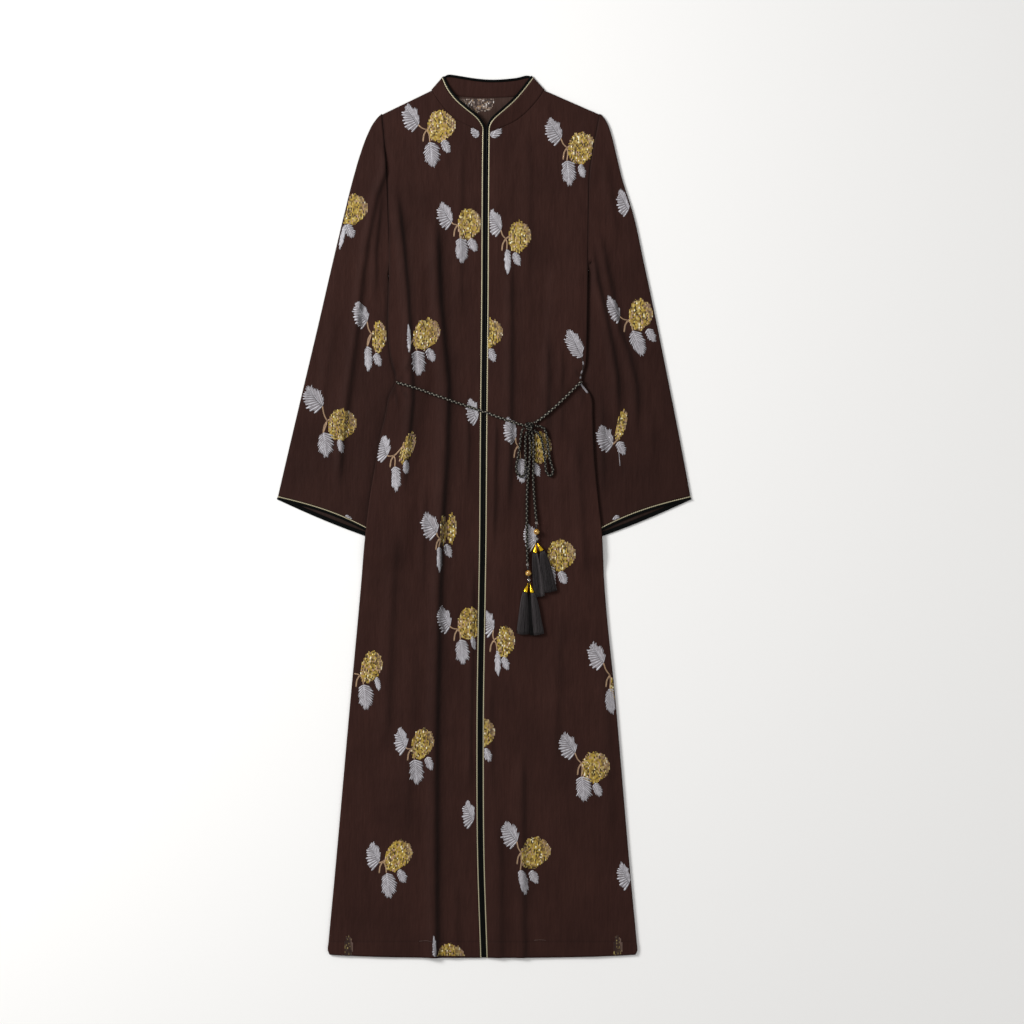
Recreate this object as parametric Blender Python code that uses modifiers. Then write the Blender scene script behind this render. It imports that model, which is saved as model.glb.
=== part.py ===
"""Open-front abaya with a stand collar, flared sleeves and a tied waist cord, laid flat on its back.

Sizes are millimetres until an object is made, when they become metres. x runs across the garment,
negative on the wearer's right, y up from the hem and z up from the surface that it lies on. Each cloth
piece is a grid of points on the middle of its cloth, given a wall by Solidify, and neighbouring pieces
stay a seam's width apart.
"""

import math

import bmesh
import bpy
from mathutils import Vector
from mathutils.geometry import interpolate_bezier

MM = 0.001
LENGTH = 1412.8  # hem to the top of the collar
WALL = 1.2  # thickness of the cloth
SEAM = 0.4  # clearance between two pieces at a seam
AIR = 0.4  # clearance between two layers that lie on each other
LAYER = WALL + AIR
BACK_Z = WALL / 2
FRONT_Z = BACK_Z + LAYER
TUCK_LIFT = 2 * LAYER  # how far the body rises where a sleeve lies under it

PIPING = 2.0  # widths of the two trims
BINDING = 3.3
TRIM_GAP = 0.6  # between piping and binding, which narrows at the bends
EDGE_GAP = 0.4  # between the two bindings where the fronts meet
PIPING_LINE = EDGE_GAP / 2 + BINDING + TRIM_GAP + PIPING / 2  # centre line to the middle of the piping
CLOTH_EDGE = -PIPING / 2 - SEAM  # where the cloth ends and the binding starts, measured from the piping's middle
BINDING_START = PIPING / 2 + TRIM_GAP

# Where the two fronts meet: height above the hem and x of the meeting line.
OPENING = (
    (0, -0.3), (160, -5.3), (348, -6.4), (690, -1.9), (806, -1.1), (1052, 1.3), (1276, 2.6), (1322, 3.1),
)

ARMHOLE_FOOT = 1113
SHOULDER = 1348  # height of the armhole's top

# Side edges and armholes of the body: height, then the distance out on the wearer's right and left.
SIDES = (
    (0, 247, 242), (12, 250, 245), (120, 240, 235), (400, 215, 211), (620, 195, 191), (645, 193, 190),
    (676, 190, 188.5), (733, 183, 182), (794, 173, 176.5), (831, 167, 174.5), (868, 158, 173.5),
    (898, 152, 171), (921, 141.5, 157), (950, 148, 162.5), (988, 153, 164), (1076, 152.5, 165.5),
    (1113, 152, 166), (1196, 154, 167), (1268, 157, 170), (1308, 160, 177), (1348, 163.5, 184.5),
)

# Heights of the body's rows below the armholes, and how far each is raised by the sleeve under it (0 to 1).
BODY_ROWS = (
    (0, 0), (12, 0), (110, 0), (230, 0), (350, 0), (470, 0), (560, 0), (618, 0), (643, 1), (690, 1), (745, 1),
    (800, 1), (850, 1), (890, 1), (921, 1), (945, 1), (985, 1), (1030, 1), (1096, 1), (1113, 0), (1165, 0),
    (1220, 0), (1275, 0),
)
HEM_RISE = 5.0  # the hem's ends lie a little higher than its middle
ROW_SLOPE = 0.9  # above the armhole's foot a row climbs this much at the armhole for each 1 at the front edge
SHOULDER_RIGHT = (-120, 1368.5)  # points of the back's top edge between the armhole and the neck
SHOULDER_LEFT = (138, 1367.5)
BACK_TOP_ROWS = 6

# Long soft folds of the fronts: height and x at the top, middle and bottom, half width, and how high they stand.
FOLDS_RIGHT = (
    # top_y, top_x, mid_y, mid_x, low_y, low_x, half_width, height
    (1080, -70, 760, -65, -200, -77, 12, 5.0),
    (1240, -142, 1110, -128, 900, -134, 10, 3.0),
    (970, -116, 840, -123, 640, -138, 10, 2.5),
    (620, -146, 440, -163, 300, -170, 12, 1.8),
    (1290, -36, 1200, -34, 1080, -30, 9, 1.2),
    (330, -28, 200, -26, 60, -24, 9, 1.6),
)
FOLDS_LEFT = (
    (1130, 36, 960, 38, 760, 40, 10, 2.4),
    (1060, 98, 940, 99, 700, 104, 12, 2.6),
    (740, 17, 640, 15, 520, 14, 7, 1.6),
    (330, 60, 180, 62, -150, 68, 12, 2.6),
    (560, 110, 380, 118, 160, 124, 14, 1.8),
)
FOLD_FADE = 70  # length over which a fold dies out at its ends

# Collar from the front edge round to the side: the neck seam and the line of the piping, on each side.
# seam_y, seam_right, seam_left, line_y, line_right, line_left
COLLAR_FRONT = (
    (1322.6, -5.8, 12.0, 1322.0, -1.8, 8.0),
    (1324.2, -10, 17, 1328.5, -2.6, 8.8),
    (1327.5, -17, 26, 1336.5, -7, 12.5),
    (1332, -28, 38, 1345, -14.5, 20.5),
    (1340.5, -44, 54, 1357.5, -30, 35),
    (1355, -61, 71, 1371, -45, 49.5),
    (1375.5, -76.5, 88.5, 1388, -58, 64),
    (1387, -83.5, 95.7, 1406.5, -66.7, 78),
)
# Round the back of the neck: x and height of the seam, then of the piping line.
COLLAR_BACK = (
    (-83.5, 1387, -66.7, 1406.5), (-66, 1381.5, -58, 1408), (-40, 1377.5, -40, 1405.5),
    (-12, 1375.5, -11, 1401), (18, 1375.5, 18, 1399.4), (48, 1377, 50, 1402), (78, 1382, 70, 1406.8),
    (95.7, 1387, 78, 1406.5),
)
COLLAR_RISE = 5.0  # how far the stiff band stands up off the body, half way round each front
COLLAR_BACK_Z = BACK_Z + 0.1  # round the back of the neck the collar is just clear of the surface
COLLAR_ROWS = 3
NECK_GAP = 0.75  # between the body's neck edge and the collar's seam, which narrows at the bends

# Outer and inner edges of the sleeves from the shoulder to the cuff: height and distance out, right then left.
SLEEVE_OUTER = (
    (1348.5, 164.0, 185.0), (1344, 169, 190), (1333, 177.5, 197), (1314, 187, 203.5), (1285, 197.5, 210.5),
    (1245, 209, 220), (1190, 222.5, 237), (1110, 241.5, 254.5), (1010, 264.5, 275.5), (900, 290.5, 297.5),
    (800, 314, 317), (737, 328.6, 328.6),
)
SLEEVE_INNER = (
    (1113, 154.2, 168.2), (1082, 155.4, 168.8), (1040, 141, 153), (990, 126, 137), (921, 117, 126),
    (868, 121, 130), (794, 131, 133), (733, 139, 138), (664, 146, 145),
)
SLEEVE_ROWS = 13
SLEEVE_COLUMNS = 9
HEAD_SHARE = 0.32  # part of the sleeve's length over which its sections turn away from the armhole
CUFF_BOW_TOP = -9.0  # the cuff's upper layer is hollowed and its lower one full, so its inside shows
CUFF_BOW_UNDER = 3.0
BOW_FROM = 0.72  # the share of the sleeve's length where that begins

# Folds of the sleeves' upper layers: place across the sleeve at both ends of the fold, where it starts and ends
# along the sleeve and its half width, all as shares, and its height.
SLEEVE_FOLDS = (
    # across_top, across_low, start, end, half_width, height
    (0.50, 0.38, 0.16, 0.74, 0.08, 3.2),
    (0.20, 0.24, 0.34, 0.95, 0.08, 1.6),
)

CORD = 4.0  # diameter of the braided cord
CORD_STEP = 10.0  # largest distance between two points of a cord's tube

# Routes of the cord's centre, x, y and z: two stretches from the side seams to the knot, then the bow's two loops
# and the two free ends, which leave the knot.
CORD_ROUTES = {
    "waist_cord_right": (
        (-140, 919.6, 9.1), (-121, 914.3, 10.6), (-101, 908, 9.2), (-84, 901.6, 8.6), (-68, 896, 10.3),
        (-50, 889.6, 8.0), (-30, 883, 5.6), (-9, 876, 5.3), (8, 869.8, 5.4), (30, 861.7, 6.8), (46, 856.2, 7.1),
        (62.6, 851.5, 5.6),
    ),
    "waist_cord_left": (
        (155.6, 921.6, 8.6), (140, 906, 8.6), (128, 894.2, 8.8), (115.7, 882.6, 8.7), (103, 871.5, 8.1),
        (91, 861.8, 7.0), (80.2, 855.2, 5.7),
    ),
    "bow_loop_right": (
        (63.4, 846.9, 9.9), (60.2, 841.4, 8.2), (58.4, 830, 6.1), (56.6, 815, 5.5), (53.4, 797, 5.6),
        (51.2, 784, 5.8), (53.6, 773.4, 5.6), (60.0, 769.4, 5.3), (65.2, 775, 5.3), (66.3, 788, 5.3),
        (65.9, 806, 5.3), (66, 822, 5.5), (66.2, 833, 7.3), (68.4, 841.2, 9.9),
    ),
    "bow_loop_left": (
        (81.6, 849.9, 9.9), (88.8, 849.6, 8.9), (96, 845.4, 8.0), (100.2, 834, 7.8), (102.4, 816, 7.8),
        (105.6, 795, 7.9), (110, 779, 8.0), (105.6, 770.4, 7.8), (99.4, 777.6, 7.5), (97.4, 795, 7.5),
        (94.6, 813, 7.2), (91.4, 829, 6.9), (86.0, 838.4, 8.0), (79.9, 843.4, 9.9),
    ),
    "cord_end_right": (
        (71.0, 841.6, 5.5), (72.6, 832, 5.3), (73.6, 818, 5.3), (73, 800, 5.3), (71.8, 784, 5.3),
        (69.9, 764, 5.3), (68.6, 740, 5.3), (68.4, 700, 5.3), (68.6, 665, 5.4), (69, 645, 6.1), (69.2, 631.4, 6.9),
    ),
    "cord_end_left": (
        (76.2, 842.4, 5.5), (78.4, 832, 5.4), (79.2, 815, 5.4), (79, 794, 5.4), (78.4, 772, 5.4), (79.2, 750, 5.4),
        (81, 725, 5.6), (82.6, 708, 6.3), (83.5, 698.1, 6.9),
    ),
}

KNOT = (72.5, 850, 7.75)
KNOT_SIZE = (8.0, 7.5, 4.6)  # half its size along x, y and z
KNOT_RIDGE = 0.12  # how far the turn of cord across its front stands out, as a share of that size
KNOT_RIDGE_WIDTH = 0.34
KNOT_RIDGE_TURN = math.radians(60)

TURNED_SIDES = 12
CORE = 1.3  # radius of the cord's core, which the beads are strung on
CLEAR_BEAD, GOLD_BEAD = 2.4, 4.6  # radii

# Beads on the two free ends: centre, radius, and the point where the core below the bead ends.
BEADS = {
    "upper_bead_right": ((69.2, 628.5, 7.0), CLEAR_BEAD, (70.3, 620.1, 7.5)),
    "gold_bead_right": ((70.6, 615.2, 7.75), GOLD_BEAD, (71.6, 606.95, 7.4)),
    "lower_bead_right": ((71.8, 604.2, 7.2), CLEAR_BEAD, (71.8, 600.3, 7.05)),
    "upper_bead_left": ((83.6, 695.2, 7.0), CLEAR_BEAD, (83.7, 685.95, 7.5)),
    "gold_bead_left": ((83.8, 681.0, 7.75), GOLD_BEAD, (83.95, 672.4, 7.4)),
    "lower_bead_left": ((84.0, 669.6, 7.2), CLEAR_BEAD, (83.7, 664.0, 7.05)),
}

# Two tassels on each end, outer and inner: top and foot of the metal cap, centre of the strands' roots, centre of
# their tips, and half the width of the fan there.
TASSELS = {
    "right_outer": ((70.6, 599.8, 7.0), (65.6, 584.9, 6.9), (65.2, 581.8, 6.9), (61.9, 518.5, 6.1), 9.4),
    "right_inner": ((73.0, 599.8, 7.0), (76.7, 583.8, 6.9), (77.2, 580.7, 6.9), (84.6, 517.5, 6.1), 10.8),
    "left_inner": ((82.6, 663.5, 7.0), (81.2, 647.6, 6.9), (81.4, 644.4, 6.9), (87.9, 578.6, 6.1), 4.7),
    "left_outer": ((84.9, 663.4, 7.0), (92.3, 651.0, 6.9), (94.0, 647.5, 6.9), (104.5, 586.0, 6.1), 10.8),
}
CAP_RADIUS = 3.6
CAP_WIRE = 0.7  # radius of the thin wire that leads into a cap
STRANDS_WIDE, STRANDS_DEEP = 8, 5
STRAND_INSET = 0.045  # clearance round each strand's root, where the bundle is 2 across
RAGGED = 0.02  # unevenness of the strands' length, as a share of it
TASSEL_TOP = (3.2, 3.0)  # half width and half depth of the head's top, of the roots, and half depth of the tips
TASSEL_ROOTS = (4.6, 3.5)
TASSEL_TIP_DEPTH = 2.7
TASSEL_HEAD = -0.035  # where the head's top lies, as a share of the strands' length


def between(rows, height, column):
    """Value of one column of a table at a height, straight between its rows."""
    for (low, high) in zip(rows, rows[1:]):
        if height <= high[0]:
            share = (height - low[0]) / (high[0] - low[0])
            return low[column] + (high[column] - low[column]) * max(0.0, share)
    return rows[-1][column]


def ease(value):
    """Smooth step from 0 to 1."""
    value = min(1.0, max(0.0, value))
    return value * value * (3 - 2 * value)


def world(x, y, z):
    return Vector((x, y - LENGTH / 2, z)) * MM


def material(name, colour, roughness, metallic=0.0):
    made = bpy.data.materials.new(name)
    made.use_nodes = True
    shader = made.node_tree.nodes["Principled BSDF"]
    shader.inputs["Base Color"].default_value = (*colour, 1.0)
    shader.inputs["Roughness"].default_value = roughness
    shader.inputs["Metallic"].default_value = metallic
    return made


def add_object(name, data, finish):
    made = bpy.data.objects.new(name, data)
    data.materials.append(finish)
    garment.objects.link(made)
    return made


def grid_faces(points, width, closed):
    """Triangles of a grid of points, each cell split along its higher diagonal, so that parallel layers match."""
    faces = []
    for start in range(0, len(points) - width, width):
        for column in range(width if closed else width - 1):
            step = (column + 1) % width
            a, b, c, d = start + column, start + step, start + width + step, start + width + column
            if points[a][2] + points[c][2] >= points[b][2] + points[d][2]:
                faces += [(a, b, c), (a, c, d)]
            else:
                faces += [(a, b, d), (b, c, d)]
    return faces


def cloth(name, rows, finish):
    """Cloth along a grid of points on its middle, given its wall by Solidify."""
    points = [point for row in rows for point in row]
    mesh = bpy.data.meshes.new(name)
    mesh.from_pydata([world(*point) for point in points], [], grid_faces(points, len(rows[0]), False))
    mesh.shade_smooth()
    made = add_object(name, mesh, finish)
    thickness = made.modifiers.new("cloth thickness", "SOLIDIFY")
    thickness.thickness = WALL * MM
    thickness.offset = 0.0
    thickness.use_even_offset = True
    return made


def flat_tube(name, outside, inside, finish):
    """Cloth tube lying flat: rings on its outer face, rings on its inner face, joined at both open ends."""
    width = len(outside[0])
    points = [point for ring in outside + inside for point in ring]
    inner_start = len(outside) * width
    skin = grid_faces(points[:inner_start], width, True)
    lining = [
        tuple(inner_start + corner for corner in reversed(face))
        for face in grid_faces(points[inner_start:], width, True)
    ]
    ends = []
    for column in range(width):
        step = (column + 1) % width
        last = inner_start - width
        ends.append((step, column, inner_start + column, inner_start + step))
        ends.append((last + column, last + step, inner_start + last + step, inner_start + last + column))
    mesh = bpy.data.meshes.new(name)
    mesh.from_pydata([world(*point) for point in points], [], skin + lining + ends)
    shell = bmesh.new()
    shell.from_mesh(mesh)
    bmesh.ops.recalc_face_normals(shell, faces=shell.faces)
    shell.to_mesh(mesh)
    shell.free()
    mesh.shade_smooth()
    return add_object(name, mesh, finish)


def fold_height(folds, x, y):
    """Height that the long folds add at a point of a front."""
    total = 0.0
    for top_y, top_x, mid_y, mid_x, low_y, low_x, half_width, height in folds:
        if not low_y < y < top_y:
            continue
        line = ((low_y, low_x), (mid_y, mid_x), (top_y, top_x))
        across = (x - between(line, y, 1)) / half_width
        fade = ease((top_y - y) / FOLD_FADE) * ease((y - low_y) / FOLD_FADE)
        total += height * fade * math.exp(-across * across)
    return total


def front_edge(y, side):
    """x of the piping line along a front, side -1 on the wearer's right and +1 on the left."""
    return between(OPENING, y, 1) + side * PIPING_LINE


def side_edge(y, side):
    return side * between(SIDES, y, 1 if side < 0 else 2)


# Columns of each half of the body, as shares of the way from the front edge to the side. A sleeve under the body
# raises it between two of them.
RAISED_FROM, RAISED_TO = 0.54, 0.68
FRONT_SHARES = (
    0, 0.08, 0.16, 0.23, 0.29, 0.34, 0.39, 0.44, 0.49, RAISED_FROM, RAISED_TO, 0.76, 0.84, 0.92, 1,
)
BACK_SHARES = (0, 0.17, 0.34, RAISED_FROM, RAISED_TO, 0.84, 1)


def body_point(share, y, raised, side, ends):
    """Plan point and lift of the body at a share of the way from one end of a row to the other."""
    (inner_x, inner_y), (outer_x, outer_y) = ends
    x = inner_x + (outer_x - inner_x) * share
    height = inner_y + (outer_y - inner_y) * share
    height += HEM_RISE * share ** 3 * (1 - y / BODY_ROWS[1][0]) if y < BODY_ROWS[1][0] else 0.0
    lift = TUCK_LIFT * raised * min(1.0, max(0.0, (share - RAISED_FROM) / (RAISED_TO - RAISED_FROM)))
    return x, height, lift


def collar_shift(row, side):
    """Neck edge of the body at a row of the collar table, just outside the collar."""
    seam_x = row[1] if side < 0 else row[2]
    return seam_x + side * NECK_GAP, row[0] - NECK_GAP


# Armhole heights that pair with the collar's rows.
NECK_ROWS_OUTER = (1276, 1290, 1303, 1314, 1325, 1333, 1341, SHOULDER)


def front_rows(side):
    """Ends of each row of a front: hem to neck along the front edge, then up the neck seam to the shoulder."""
    rows = []
    for y, raised in BODY_ROWS:
        outer_y = y if y <= ARMHOLE_FOOT else ARMHOLE_FOOT + (y - ARMHOLE_FOOT) * ROW_SLOPE
        inner = (front_edge(y, side) + side * -CLOTH_EDGE, y)
        rows.append((y, raised, (inner, (side_edge(outer_y, side), outer_y))))
    corner_y = COLLAR_FRONT[0][0] - 1.0
    neck = [(front_edge(corner_y, side) + side * -CLOTH_EDGE, corner_y)]
    neck += [collar_shift(row, side) for row in COLLAR_FRONT[1:]]
    for inner, outer_y in zip(neck, NECK_ROWS_OUTER):
        rows.append((inner[1], 0, (inner, (side_edge(outer_y, side), outer_y))))
    return rows


def front(name, side, folds):
    grid = []
    for y, raised, ends in front_rows(side):
        line = []
        for share in FRONT_SHARES:
            x, height, lift = body_point(share, y, raised, side, ends)
            line.append((x, height, FRONT_Z + lift + fold_height(folds, x, height)))
        grid.append(line)
    return cloth(name, grid, brocade)


def back():
    """The back shares its side columns with the fronts, so the two lie parallel where a sleeve raises them."""
    grid = []
    for y, raised in BODY_ROWS:
        if y > ARMHOLE_FOOT:
            break
        line = []
        for side, shares in ((-1, BACK_SHARES[::-1]), (1, BACK_SHARES[1:])):
            ends = ((front_edge(y, side) + side * -CLOTH_EDGE, y), (side_edge(y, side), y))
            for share in shares:
                if share == 0:
                    line.append((between(OPENING, y, 1), y, BACK_Z))
                    continue
                x, height, lift = body_point(share, y, raised, side, ends)
                line.append((x, height, BACK_Z + lift))
        grid.append(line)
    # Above the armholes' feet the rows bend up to the shoulders and the back of the neck.
    neck = [(x, y - SEAM) for x, y, _, _ in COLLAR_BACK]
    middle = ((neck[3][0] + neck[4][0]) / 2, neck[3][1])
    ends = [(side_edge(SHOULDER, side), SHOULDER) for side in (-1, 1)]
    top = [ends[0], SHOULDER_RIGHT, *neck[:4], middle, *neck[4:], SHOULDER_LEFT, ends[1]]
    low = grid[-1]
    for step in range(1, BACK_TOP_ROWS + 1):
        share = step / BACK_TOP_ROWS
        line = []
        for column, ((top_x, top_y), start) in enumerate(zip(top, low)):
            height = start[1] + (top_y - start[1]) * share
            x = start[0] + (top_x - start[0]) * share
            if column in (0, len(top) - 1):
                x = side_edge(height, -1 if column == 0 else 1)
            line.append((x, height, BACK_Z))
        grid.append(line)
    return cloth("back", grid, brocade)


def fold_arc(edge, outward, face=0):
    """Points round a fold from the upper layer to the lower one: face 1 outside, 0 mid-cloth, -1 inside."""
    radius = LAYER / 2 + face * WALL / 2
    points = []
    for degrees in (45, 90, 135):
        turn = math.radians(degrees)
        reach = radius * math.sin(turn)
        height = BACK_Z + LAYER / 2 + radius * math.cos(turn)
        points.append((edge[0] + outward[0] * reach, edge[1] + outward[1] * reach, height))
    return points


def unit(dx, dy):
    length = math.hypot(dx, dy)
    return dx / length, dy / length


def sleeve_edge(table, side, along):
    """Plan point of a sleeve's outer or inner edge at a share of its length."""
    points = [(side * row[1 if side < 0 else 2], row[0]) for row in table]
    lengths = [0.0]
    for (x0, y0), (x1, y1) in zip(points, points[1:]):
        lengths.append(lengths[-1] + math.hypot(x1 - x0, y1 - y0))
    rows = [(length, *point) for length, point in zip(lengths, points)]
    return between(rows, lengths[-1] * along, 1), between(rows, lengths[-1] * along, 2)


def edge_outward(table, side, along):
    """Plan direction square to a sleeve's edge, away from the sleeve."""
    before = sleeve_edge(table, side, max(0.0, along - 0.03))
    after = sleeve_edge(table, side, min(1.0, along + 0.03))
    down_x, down_y = unit(after[0] - before[0], after[1] - before[1])
    facing = -side if table is SLEEVE_OUTER else side
    return facing * down_y, -facing * down_x


def armhole_bulge(side, across, along):
    """How far a section leaves its straight line near the shoulder, to follow the armhole."""
    outer_x, outer_y = sleeve_edge(SLEEVE_OUTER, side, 0.0)
    inner_x, inner_y = sleeve_edge(SLEEVE_INNER, side, 0.0)

    def leaves(share):
        height = outer_y + (inner_y - outer_y) * share
        return side_edge(height, side) + side * SEAM - (outer_x + (inner_x - outer_x) * share)

    follow = leaves(across) - leaves(0.0) * (1 - across) - leaves(1.0) * across
    return follow * (1 - ease(along / HEAD_SHARE))


def sleeve_height(across, along):
    """Height that the folds add to a sleeve's upper layer."""
    total = 0.0
    for across_top, across_low, start, end, half_width, height in SLEEVE_FOLDS:
        if start < along < end:
            line = across_top + (across_low - across_top) * (along - start) / (end - start)
            fade = ease((along - start) / 0.15) * ease((end - along) / 0.2)
            total += height * fade * math.exp(-(((across - line) / half_width) ** 2))
    return total


def sleeve_ring(side, along, past_end, face):
    """Closed section of a sleeve's outer (face 1) or inner (-1) side: over the top, then back underneath."""
    outer_x, outer_y = sleeve_edge(SLEEVE_OUTER, side, along)
    inner_x, inner_y = sleeve_edge(SLEEVE_INNER, side, along)
    across_x, across_y = unit(inner_x - outer_x, inner_y - outer_y)
    down_x, down_y = -side * across_y, side * across_x
    bow = max(0.0, (along - BOW_FROM) / (1 - BOW_FROM)) ** 2
    layers = []
    for bow_size in (CUFF_BOW_TOP, CUFF_BOW_UNDER):
        layer = []
        for step in range(SLEEVE_COLUMNS + 1):
            across = step / SLEEVE_COLUMNS
            drop = past_end + bow * bow_size * math.sin(math.pi * across)
            x = outer_x + (inner_x - outer_x) * across + armhole_bulge(side, across, along) + down_x * drop
            y = outer_y + (inner_y - outer_y) * across + down_y * drop
            layer.append((x, y))
        layers.append(layer)
    skin = face * WALL / 2
    upper = [
        (x, y, FRONT_Z + skin + sleeve_height(step / SLEEVE_COLUMNS, along))
        for step, (x, y) in enumerate(layers[0])
    ]
    under = [(x, y, BACK_Z - skin) for x, y in layers[1]]
    inner_fold = fold_arc(upper[-1], edge_outward(SLEEVE_INNER, side, along), face)
    outer_fold = fold_arc(under[0], edge_outward(SLEEVE_OUTER, side, along), face)
    return upper + inner_fold + under[::-1] + outer_fold[::-1]


def sleeve(name, side):
    stations = [(row / SLEEVE_ROWS, 0.0) for row in range(SLEEVE_ROWS)] + [(1.0, CLOTH_EDGE)]
    outside, inside = ([sleeve_ring(side, *station, face) for station in stations] for face in (1, -1))
    return flat_tube(name, outside, inside, brocade)


def cuff_trim(name, side, start, end, finish):
    outside, inside = ([sleeve_ring(side, 1.0, past, face) for past in (start, end)] for face in (1, -1))
    return flat_tube(name, outside, inside, finish)


def collar_rails():
    """Sections round the collar from the right front edge to the left one: seam point and piping point."""

    def front_part(side):
        part = []
        last = len(COLLAR_FRONT) - 1
        for index, (seam_y, seam_r, seam_l, line_y, line_r, line_l) in enumerate(COLLAR_FRONT):
            rise = COLLAR_RISE * math.sin(math.pi * index / last) ** 1.5
            seam_x, line_x = (seam_r, line_r) if side < 0 else (seam_l, line_l)
            part.append(((seam_x, seam_y, FRONT_Z), (line_x, line_y, FRONT_Z + rise)))
        return part

    def fold_part(side):
        seam, line = front_part(side)[-1]
        along_x, along_y = unit(line[0] - seam[0], line[1] - seam[1])
        outward = (side * abs(along_y), abs(along_x)) if side > 0 else (-abs(along_y), abs(along_x))
        return list(zip(fold_arc(seam, outward), fold_arc(line, outward)))

    back_part = [((sx, sy, COLLAR_BACK_Z), (lx, ly, COLLAR_BACK_Z)) for sx, sy, lx, ly in COLLAR_BACK]
    return (
        front_part(-1) + fold_part(-1) + back_part + fold_part(1)[::-1] + front_part(1)[::-1]
    )


def collar():
    rows = []
    for step in range(COLLAR_ROWS + 1):
        row = []
        for seam, line in collar_rails():
            start, end = Vector(seam), Vector(line)
            end = end + (end - start).normalized() * CLOTH_EDGE
            row.append(tuple(start.lerp(end, step / COLLAR_ROWS)))
        rows.append(row)
    return cloth("collar", rows, brocade)


def edge_sections():
    """Piping line and direction towards the opening: up the right front, round the collar, down the left front."""

    def front_part(side, folds):
        part = []
        for y, _, (inner, _) in front_rows(side):
            if y >= COLLAR_FRONT[0][0] - 1.5:
                break
            x = front_edge(y, side)
            z = FRONT_Z + fold_height(folds, inner[0], y)
            part.append((Vector((x, y, z)), Vector((-side, 0, 0))))
        return part

    collar_part = [(Vector(line), (Vector(line) - Vector(seam)).normalized()) for seam, line in collar_rails()]
    return front_part(-1, FOLDS_RIGHT) + collar_part + front_part(1, FOLDS_LEFT)[::-1]


def edge_trim(name, start, end, finish):
    sections = edge_sections()
    rows = [[tuple(line + toward * offset) for line, toward in sections] for offset in (start, end)]
    return cloth(name, rows, finish)


def cord(name, finish):
    """Round cord along a smooth curve through its route's points."""
    route = [Vector(point) for point in CORD_ROUTES[name]]
    route = [2 * route[0] - route[1], *route, 2 * route[-1] - route[-2]]
    points = [route[1]]
    for before, start, end, after in zip(route, route[1:], route[2:], route[3:]):
        steps = math.ceil((end - start).length / CORD_STEP)
        leaving, arriving = start + (end - before) / 6, end - (after - start) / 6
        points += interpolate_bezier(start, leaving, arriving, end, steps + 1)[1:]
    curve = bpy.data.curves.new(name, "CURVE")
    curve.dimensions = "3D"
    curve.bevel_depth = CORD / 2 * MM
    curve.bevel_resolution = 2
    curve.use_fill_caps = True
    line = curve.splines.new("POLY")
    line.points.add(len(points) - 1)
    for target, point in zip(line.points, points):
        target.co = (*world(*point), 1.0)
    return add_object(name, curve, finish)


def knot(name, finish):
    """Rounded lump with the turn of cord that ties it as a ridge across its front."""
    mesh = bpy.data.meshes.new(name)
    lump = bmesh.new()
    bmesh.ops.create_uvsphere(lump, u_segments=20, v_segments=12, radius=1.0)
    for corner in lump.verts:
        x, y, z = corner.co
        across = (x * math.cos(KNOT_RIDGE_TURN) + y * math.sin(KNOT_RIDGE_TURN)) / KNOT_RIDGE_WIDTH
        grown = 1 + KNOT_RIDGE * max(0.0, z) * math.exp(-across * across)
        corner.co = world(*(
            middle + half * share * grown for middle, half, share in zip(KNOT, KNOT_SIZE, corner.co)
        ))
    lump.to_mesh(mesh)
    lump.free()
    mesh.shade_smooth()
    return add_object(name, mesh, finish)


def turned(name, top, foot, profile, finish):
    """Solid turned about the line from top to foot: rows of the distance down that line and the radius there."""
    length = (foot - top).length
    mesh = bpy.data.meshes.new(name)
    corners = [(radius * MM, 0.0, (length - down) * MM) for down, radius in profile]
    mesh.from_pydata(corners, [(row, row + 1) for row in range(len(profile) - 1)], [])
    made = add_object(name, mesh, finish)
    made.location = world(*foot)
    made.rotation_euler = (top - foot).to_track_quat("Z", "X").to_euler()
    turning = made.modifiers.new("turning", "SCREW")
    turning.steps = turning.render_steps = TURNED_SIDES
    turning.use_merge_vertices = True
    turning.merge_threshold = 0.00001
    return made


def bead(name, finish):
    """Round bead and the stretch of core below it."""
    centre, radius, foot = BEADS[name]
    centre, foot = Vector(centre), Vector(foot)
    down = (foot - centre).normalized()
    opening = math.asin(CORE / radius)
    steps = 6
    turns = [(math.pi - opening) * step / steps for step in range(steps + 1)]
    profile = [(radius - radius * math.cos(turn), radius * math.sin(turn)) for turn in turns]
    length = radius + (foot - centre).length
    return turned(name, centre - down * radius, foot, [*profile, (length, CORE), (length, 0)], finish)


def tassel_cap(name, top, foot, finish):
    """Metal cone on a thin wire, its mouth slightly rounded."""
    top, foot = Vector(top), Vector(foot)
    length = (foot - top).length
    profile = (
        (0, 0), (0, CAP_WIRE), (length - 11.5, CAP_WIRE), (length - 11, 1.3), (length - 6, 2.5),
        (length - 2.5, CAP_RADIUS), (length - 1, CAP_RADIUS), (length, 2), (length, 0),
    )
    return turned(name, top, foot, profile, finish)


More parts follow.
